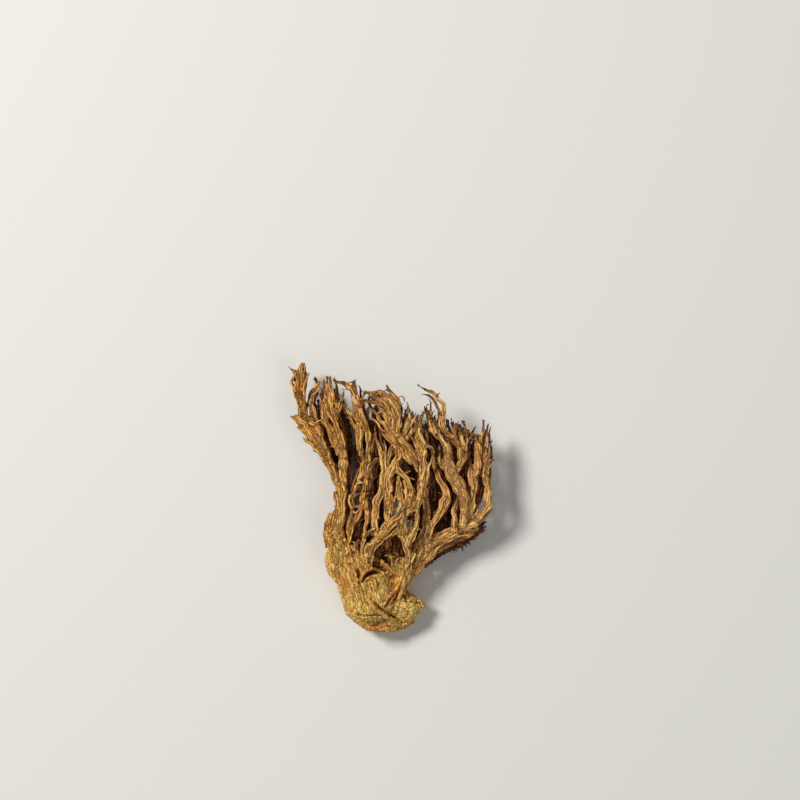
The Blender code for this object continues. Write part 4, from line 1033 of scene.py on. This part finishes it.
def fused(name, strands, finest, wrinkle, deep=1.0, lumps=None):
    """The strands joined in one closed skin and wrinkled, with what its material reads on its points."""
    obj, facts = joined(name, strands)
    skin = skinned(obj, finest)
    ends = values_of(skin.edges, "vertices", 2)
    points = smoothed(ends, values_of(skin.vertices, "co"), (0.5, -0.52, 0.5, -0.52))
    near = nearest(facts["points"], points)
    facts = {key: values[near] for key, values in facts.items()}
    # Where each point is along and across its nearest strand.
    off = points - facts["points"]
    off = [(off * facts[key]).sum(1) for key in ("tangent", "side", "up")]
    grain = facts["grain"] + np.stack(off, axis=1)
    put_points(skin, points)
    normals = values_of(skin.vertex_normals, "vector")
    lift = wrinkled(grain, facts["number"], wrinkle)
    if lumps:
        hollow = pressed(points)
        lift = 0.5 * lift + lumps(points)
        points[:, 2] -= hollow
    points += normals * lift[:, None]
    points[:, 2] = np.clip(points[:, 2], 0.0, HIGHEST + OVER_TOP)
    relief = ((points - smoothed(ends, points, [0.6] * 6)) * normals).sum(1)
    # Painted shade: flesh under other strands is drawn darker, and so is a limb's flesh below the highest
    # strand near it and the stem's flesh in its hollows.
    cover = covered(points + 0.4 * normals)
    if lumps:
        shade = facts["shade"] + 0.3 * cover + 0.22 * hollow
    else:
        # Painted shade in the gaps: what faces up out of a gap is dark there, and what faces sideways
        # gets less, as it is seen from the sides too.
        facing = np.clip(0.45 + 0.8 * normals[:, 2], 0.05, 1)
        sunk = np.clip((sunken(points) - 2.6) / 8, 0, 1)
        shade = facts["shade"] + facing * (deep * cover + 0.72 * sunk)
    put_points(skin, points * MM)
    store(skin, grain=grain, relief=np.clip(0.55 + relief / 0.34, 0, 1), tip=facts["tip"],
          edge=np.maximum(facts["edge"], 0), shade=np.clip(shade, -PALEST, DARKEST) + PALEST,
          number=facts["number"])
    skin.shade_smooth()
    return obj


def colour(text):
    """An sRGB hex colour as linear light."""
    parts = [int(text[k:k + 2], 16) / 255 for k in (1, 3, 5)]
    return [part / 12.92 if part <= 0.04045 else ((part + 0.055) / 1.055) ** 2.4 for part in parts]


def add(tree, kind, settings=None, **links):
    """A node with its settings. A link names an input and gives another node's output, or a value."""
    node = tree.nodes.new(kind)
    for key, value in (settings or {}).items():
        setattr(node, key, value)
    for name, value in links.items():
        by_number = name[0] == "i" and name[1:].isdigit()
        socket = node.inputs[int(name[1:]) if by_number else name]
        if isinstance(value, bpy.types.NodeSocket):
            tree.links.new(value, socket)
        else:
            socket.default_value = value
    return node


def plate_cracks(tree, where):
    """1 in the fine cracks between plates of skin, about 1.2 mm across and 1.9 mm long, and 0 on them."""
    swerve = add(tree, "ShaderNodeTexNoise", Vector=where, Scale=700.0, Detail=2.0).outputs[1]
    swerve = add(tree, "ShaderNodeVectorMath", {"operation": "SCALE"}, i0=swerve, Scale=0.9 * MM).outputs[0]
    swerved = add(tree, "ShaderNodeVectorMath", {"operation": "ADD"}, i0=where, i1=swerve).outputs[0]
    plates = add(tree, "ShaderNodeMapping", i0=swerved, Scale=(830.0, 520.0, 830.0)).outputs[0]
    cracks = add(tree, "ShaderNodeTexVoronoi", {"feature": "DISTANCE_TO_EDGE"}, Vector=plates, Scale=1.0)
    return add(tree, "ShaderNodeMapRange", i0=cracks.outputs[0], i1=0.0, i2=0.09, i3=1.0, i4=0.0).outputs[0]


def dry_flesh(name, kind):
    """Dried fungus flesh: matt, fibrous lengthwise, with painted shade in the folds and painted light on
    the ridges.
    """
    colours = bpy.context.scene.coral_colours
    level, crease_depth, most_red = FLESH[kind]
    made = bpy.data.materials.new(name)
    made.use_nodes = True
    tree = made.node_tree
    relief, tips, shade, number, edge = [
        add(tree, "ShaderNodeAttribute", {"attribute_name": key}).outputs["Fac"]
        for key in ("relief", "tip", "shade", "number", "edge")
    ]
    grain = add(tree, "ShaderNodeAttribute", {"attribute_name": "grain"}).outputs["Vector"]
    where = add(tree, "ShaderNodeTexCoord").outputs["Object"]
    places = add(tree, "ShaderNodeSeparateXYZ", i0=where).outputs
    shift = add(tree, "ShaderNodeMath", {"operation": "MULTIPLY"}, i0=number, i1=90.0).outputs[0]
    own = add(tree, "ShaderNodeVectorMath", {"operation": "ADD"}, i0=grain, i1=shift).outputs[0]
    # Fibres 0.7 mm and 0.25 mm across, drawn out about eight times along the strand.
    wide = add(tree, "ShaderNodeMapping", i0=own, Scale=(0.17, 1.4, 1.4)).outputs[0]
    thin = add(tree, "ShaderNodeMapping", i0=own, Scale=(0.5, 4.0, 4.0)).outputs[0]
    # Then specks about 0.6 mm across, and blotches of 4 mm.
    streak, fibre, speck, blotch = [
        add(tree, "ShaderNodeTexNoise", Vector=at, Scale=scale, Detail=detail, Roughness=rough).outputs[0]
        for at, scale, detail, rough in ((wide, 1.0, 4.0, 0.6), (thin, 1.0, 3.0, 0.6),
                                         (where, 1500.0, 2.0, 0.7), (where, 230.0, 3.0, 0.55))
    ]
    # Creases along the strand, about 0.7 mm apart: dark lines, drawn 0.2 mm wide so that they show.
    folds = add(tree, "ShaderNodeMapping", i0=own, Scale=(0.1, 0.95, 0.95)).outputs[0]
    folds = add(tree, "ShaderNodeTexNoise", Vector=folds, Scale=1.0, Detail=1.0, Roughness=0.4).outputs[0]
    folds = add(tree, "ShaderNodeMath", {"operation": "PINGPONG"}, i0=folds, i1=0.075).outputs[0]
    crease = add(tree, "ShaderNodeMapRange", i0=folds, i1=0.0, i2=0.036, i3=1.0, i4=0.0).outputs[0]
    # The flesh is paler from the limbs' feet, 10 mm below the middle, to the cut end. It is also drawn
    # paler from the left side to the right, which is painted light.
    down, right = [
        add(tree, "ShaderNodeMapRange", i0=places[axis], i1=start, i2=end, i3=least, i4=most).outputs[0]
        for axis, start, end, least, most in (("Y", -0.010, -0.036, 0.0, 0.18),
                                              ("X", -0.024, 0.024, -0.06, 0.06))
    ]
    paler = add(tree, "ShaderNodeMath", {"operation": "ADD"}, i0=down, i1=right).outputs[0]
    height = add(tree, "ShaderNodeMath", {"operation": "SUBTRACT"}, i0=paler,
                 i1=level - SHADE_SHARE * PALEST).outputs[0]
    # Painted shade and light: the relief darkens the grooves and lightens the ridges. The streaks, fibres,
    # specks, blotches and each strand's number are the flesh's own tone.
    lighter = [(relief, 1.05), (streak, 0.6), (fibre, 0.35), (speck, 0.4), (number, 0.2), (blotch, 0.45)]
    darker = [(shade, -SHADE_SHARE), (crease, -crease_depth)]
    bumpy = [(fibre, 0.5), (speck, 0.35), (crease, -0.8)]
    if kind == "stem":
        split = plate_cracks(tree, where)
        darker.append((split, -0.3))
        bumpy.append((split, -0.6))
    for value, share in lighter + darker:
        # What darkens is kept from taking the tone below 0.
        settings = {"operation": "MULTIPLY_ADD", "use_clamp": share < 0}
        height = add(tree, "ShaderNodeMath", settings, i0=value, i1=share, i2=height).outputs[0]
    shades = add(tree, "ShaderNodeValToRGB", i0=height)
    elements = shades.color_ramp.elements
    while len(elements) < len(TONE_STEPS):
        elements.new(0.5)
    for k, (element, at) in enumerate(zip(elements, TONE_STEPS), 1):
        element.position = at
        element.color = (*getattr(colours, f"{kind}_{k}"), 1)
    redness = add(tree, "ShaderNodeMapRange", i0=blotch, i1=0.46, i2=0.66, i3=0.0, i4=most_red).outputs[0]
    settings = {"operation": "ADD", "use_clamp": True}
    redness = add(tree, "ShaderNodeMath", settings, i0=edge, i1=redness).outputs[0]
    base = add(tree, "ShaderNodeMix", {"data_type": "RGBA", "blend_type": "COLOR"}, i0=redness,
               i6=shades.outputs[0], i7=(*getattr(colours, f"{kind}_stain"), 1)).outputs[2]
    ends = tips
    for value in (speck, 1.5):
        settings = {"operation": "MULTIPLY", "use_clamp": True}
        ends = add(tree, "ShaderNodeMath", settings, i0=ends, i1=value).outputs[0]
    base = add(tree, "ShaderNodeMix", {"data_type": "RGBA"}, i0=ends, i6=base,
               i7=(*getattr(colours, f"{kind}_tip"), 1)).outputs[2]
    rough = add(tree, "ShaderNodeMapRange", i0=streak, i1=0.2, i2=0.8, i3=0.5, i4=0.78).outputs[0]
    bumps = streak
    for value, share in bumpy:
        bumps = add(tree, "ShaderNodeMath", {"operation": "MULTIPLY_ADD"}, i0=value, i1=share,
                    i2=bumps).outputs[0]
    bump = add(tree, "ShaderNodeBump", Strength=1.0, Distance=0.36 * MM, Height=bumps).outputs[0]
    inputs = tree.nodes["Principled BSDF"].inputs
    for socket, value in (("Base Color", base), ("Roughness", rough), ("Normal", bump)):
        tree.links.new(value, inputs[socket])
    inputs["IOR"].default_value = 1.45
    inputs["Specular IOR Level"].default_value = 0.35
    return made


def length(name, description, millimetres):
    """A length that a user may change."""
    return bpy.props.FloatProperty(name=name, description=description, default=millimetres * MM,
                                   subtype="DISTANCE", unit="LENGTH")


def hue(name, description, text):
    """A colour that a user may change, from its sRGB hex value."""
    return bpy.props.FloatVectorProperty(name=name, description=description, default=colour(text),
                                         subtype="COLOR", size=3, min=0, max=1)


class CoralSizes(bpy.types.PropertyGroup):
    """Sizes of the fungus's surface."""

    front_skin: length("Front skin", "Finest form on the front limbs", 0.2)
    back_skin: length("Back skin", "Finest form on the limbs underneath", 0.28)
    stem_skin: length("Stem skin", "Finest form on the stem", 0.26)
    wrinkle: length("Wrinkle", "Height of the lengthwise wrinkles", 0.15)


class CoralColours(bpy.types.PropertyGroup):
    """Colours of the dried flesh, from a fold's bottom in painted shade to a ridge in painted light, and of
    the floor.
    """

    # Colours 1 to 6 run from painted shade deep in the folds to painted light on the highest ridges.
    front_1: hue("Front fold", "Deep in a fold of a front limb", "#5E1C04")
    front_2: hue("Front crack", "In a crack of a front limb", "#702E06")
    front_3: hue("Front furrow", "In a furrow of a front limb", "#A25C10")
    front_4: hue("Front flat", "On the flat of a front limb", "#DA9022")
    front_5: hue("Front ridge", "On a ridge of a front limb", "#F5B84C")
    front_6: hue("Front crest", "On the most worn ridges of a front limb", "#FBDA88")
    front_tip: hue("Front tip", "Shrunk tips of the front limbs", "#4A1E12")
    front_stain: hue("Front stain", "Tint of a front limb's redder flesh", "#C4864E")
    stem_1: hue("Stem fold", "Deep in a fold of the stem", "#501A02")
    stem_2: hue("Stem crack", "In a crack of the stem", "#763606")
    stem_3: hue("Stem furrow", "In a furrow of the stem", "#B26610")
    stem_4: hue("Stem flat", "On the flat of the stem", "#E09A2E")
    stem_5: hue("Stem ridge", "On a ridge of the stem", "#F6C04E")
    stem_6: hue("Stem crest", "On the most worn ridges of the stem", "#FFE08C")
    stem_tip: hue("Stem tip", "Ends of the threads on the stem", "#6A3A1A")
    stem_stain: hue("Stem stain", "Tint of the stem's redder flesh", "#D08A44")
    under_1: hue("Under fold", "Deep in a fold underneath", "#461A0A")
    under_2: hue("Under crack", "In a crack underneath", "#5A2A0C")
    under_3: hue("Under furrow", "In a furrow underneath", "#82420F")
    under_4: hue("Under flat", "On the flat underneath", "#B36F24")
    under_5: hue("Under ridge", "On a ridge underneath", "#C8904A")
    under_6: hue("Under crest", "On the most worn ridges underneath", "#DCAE70")
    under_tip: hue("Under tip", "Shrunk tips underneath", "#3A160C")
    under_stain: hue("Under stain", "Tint of the redder flesh underneath", "#B07054")
    floor: hue("Floor", "The floor", "#ECEAE2")


def finish_piece(obj, nodes, material):
    """Gives a piece its material, and ties it to the solids that it stands for."""
    obj.data.materials.clear()
    obj.data.materials.append(material)
    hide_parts(*nodes)
    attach(obj, "root")


class CORAL_OT_stem(bpy.types.Operator):
    """Builds the cut stem with its cracked skin, ridges and pocket"""

    bl_idname = "coral.stem"
    bl_label = "Stem"

    def execute(self, context):
        sizes = context.scene.coral_sizes
        # Dried stem flesh: the skin shrank and split, so it reads as ochre plates between dark cracks.
        material = dry_flesh("dried_stem_flesh", "stem")
        obj = fused("stem_flesh", all_strands()["stem"], sizes.stem_skin / MM, sizes.wrinkle / MM,
                    lumps=cracked_skin)
        finish_piece(obj, ["stem"], material)
        return {"FINISHED"}


class CORAL_OT_front_limbs(bpy.types.Operator):
    """Builds the five limbs that lie in front"""

    bl_idname = "coral.front_limbs"
    bl_label = "Front limbs"

    def execute(self, context):
        sizes = context.scene.coral_sizes
        # Dried branch flesh: shrunk fibres read as tan and ochre streaks along each strand, with painted
        # brown shade in the folds.
        material = dry_flesh("dried_branch_flesh", "front")
        for name in FRONT:
            obj = fused(f"{name}_strands", all_strands()[name], sizes.front_skin / MM, sizes.wrinkle / MM)
            finish_piece(obj, [name], material)
        return {"FINISHED"}


class CORAL_OT_back_limbs(bpy.types.Operator):
    """Builds the three limbs that lie underneath, and the fringe of the right one"""

    bl_idname = "coral.back_limbs"
    bl_label = "Back limbs"

    def execute(self, context):
        sizes = context.scene.coral_sizes
        # Flesh from the underside: redder, and drawn darker as painted shade, as it lies under the front
        # limbs.
        material = dry_flesh("dried_underside_flesh", "under")
        for name in BACK:
            obj = fused(f"{name}_strands", all_strands()[name], sizes.back_skin / MM, sizes.wrinkle / MM,
                        deep=0.55)
            finish_piece(obj, [name], material)
        return {"FINISHED"}


class CORAL_OT_stage(bpy.types.Operator):
    """Builds the floor, the lights and the camera"""

    bl_idname = "coral.stage"
    bl_label = "Stage"

    def execute(self, context):
        scene = context.scene
        bm = bmesh.new()
        bmesh.ops.create_grid(bm, x_segments=1, y_segments=1, size=FLOOR_REACH)
        floor = placed("floor", mesh_of("floor", bm))
        # Matt white paint: pale all over, with a soft shadow and no mirror image of the piece.
        paint = bpy.data.materials.new("matt_white_paint")
        paint.use_nodes = True
        shader = paint.node_tree.nodes["Principled BSDF"]
        shader.inputs["Base Color"].default_value = (*scene.coral_colours.floor, 1)
        shader.inputs["Roughness"].default_value = 0.6
        floor.data.materials.append(paint)
        for name, (place, size, energy) in LIGHTS.items():
            lamp = bpy.data.lights.new(name, "AREA")
            lamp.shape = "DISK"
            lamp.size = size
            lamp.energy = energy
            obj = placed(name, lamp)
            obj.location = place
            obj.rotation_euler = (-Vector(place)).to_track_quat("-Z", "Y").to_euler()
        sky = bpy.data.worlds.new("soft_light")
        sky.use_nodes = True
        light = sky.node_tree.nodes["Background"].inputs
        light["Color"].default_value = (*SKY_COLOUR, 1)
        light["Strength"].default_value = SKY_STRENGTH
        scene.world = sky
        camera = bpy.data.cameras.new("camera")
        camera.sensor_width = SENSOR
        camera.lens = SENSOR * CAMERA_AWAY / VIEW_WIDTH
        camera.clip_end = 10
        scene.camera = placed("camera", camera)
        scene.camera.location = ((VIEW_X - CENTRE_X) * MM, (VIEW_Y - CENTRE_Y) * MM,
                                 (VIEW_Z + CAMERA_AWAY) * MM)
        scene.view_settings.view_transform = "Standard"
        return {"FINISHED"}


class CORAL_PT_panel(bpy.types.Panel):
    """Lists the steps and their sizes"""

    bl_idname = "CORAL_PT_panel"
    bl_label = "Dried coral fungus"
    bl_space_type = "VIEW_3D"
    bl_region_type = "UI"
    bl_category = "Coral fungus"

    def draw(self, context):
        for group in (context.scene.coral_sizes, context.scene.coral_colours):
            for name in group.__annotations__:
                self.layout.prop(group, name)
        for step in STEPS:
            self.layout.operator(step.bl_idname)


STEPS = (CORAL_OT_stage, CORAL_OT_stem, CORAL_OT_front_limbs, CORAL_OT_back_limbs)
CLASSES = (CoralSizes, CoralColours, *STEPS, CORAL_PT_panel)


def register():
    for made in CLASSES:
        bpy.utils.register_class(made)
    bpy.types.Scene.coral_sizes = bpy.props.PointerProperty(type=CoralSizes)
    bpy.types.Scene.coral_colours = bpy.props.PointerProperty(type=CoralColours)


def unregister():
    del bpy.types.Scene.coral_sizes
    del bpy.types.Scene.coral_colours
    for made in reversed(CLASSES):
        bpy.utils.unregister_class(made)


def main():
    register()
    bpy.ops.coral.stage()
    bpy.ops.coral.stem()
    bpy.ops.coral.front_limbs()
    bpy.ops.coral.back_limbs()


if __name__ == "__main__":
    main()
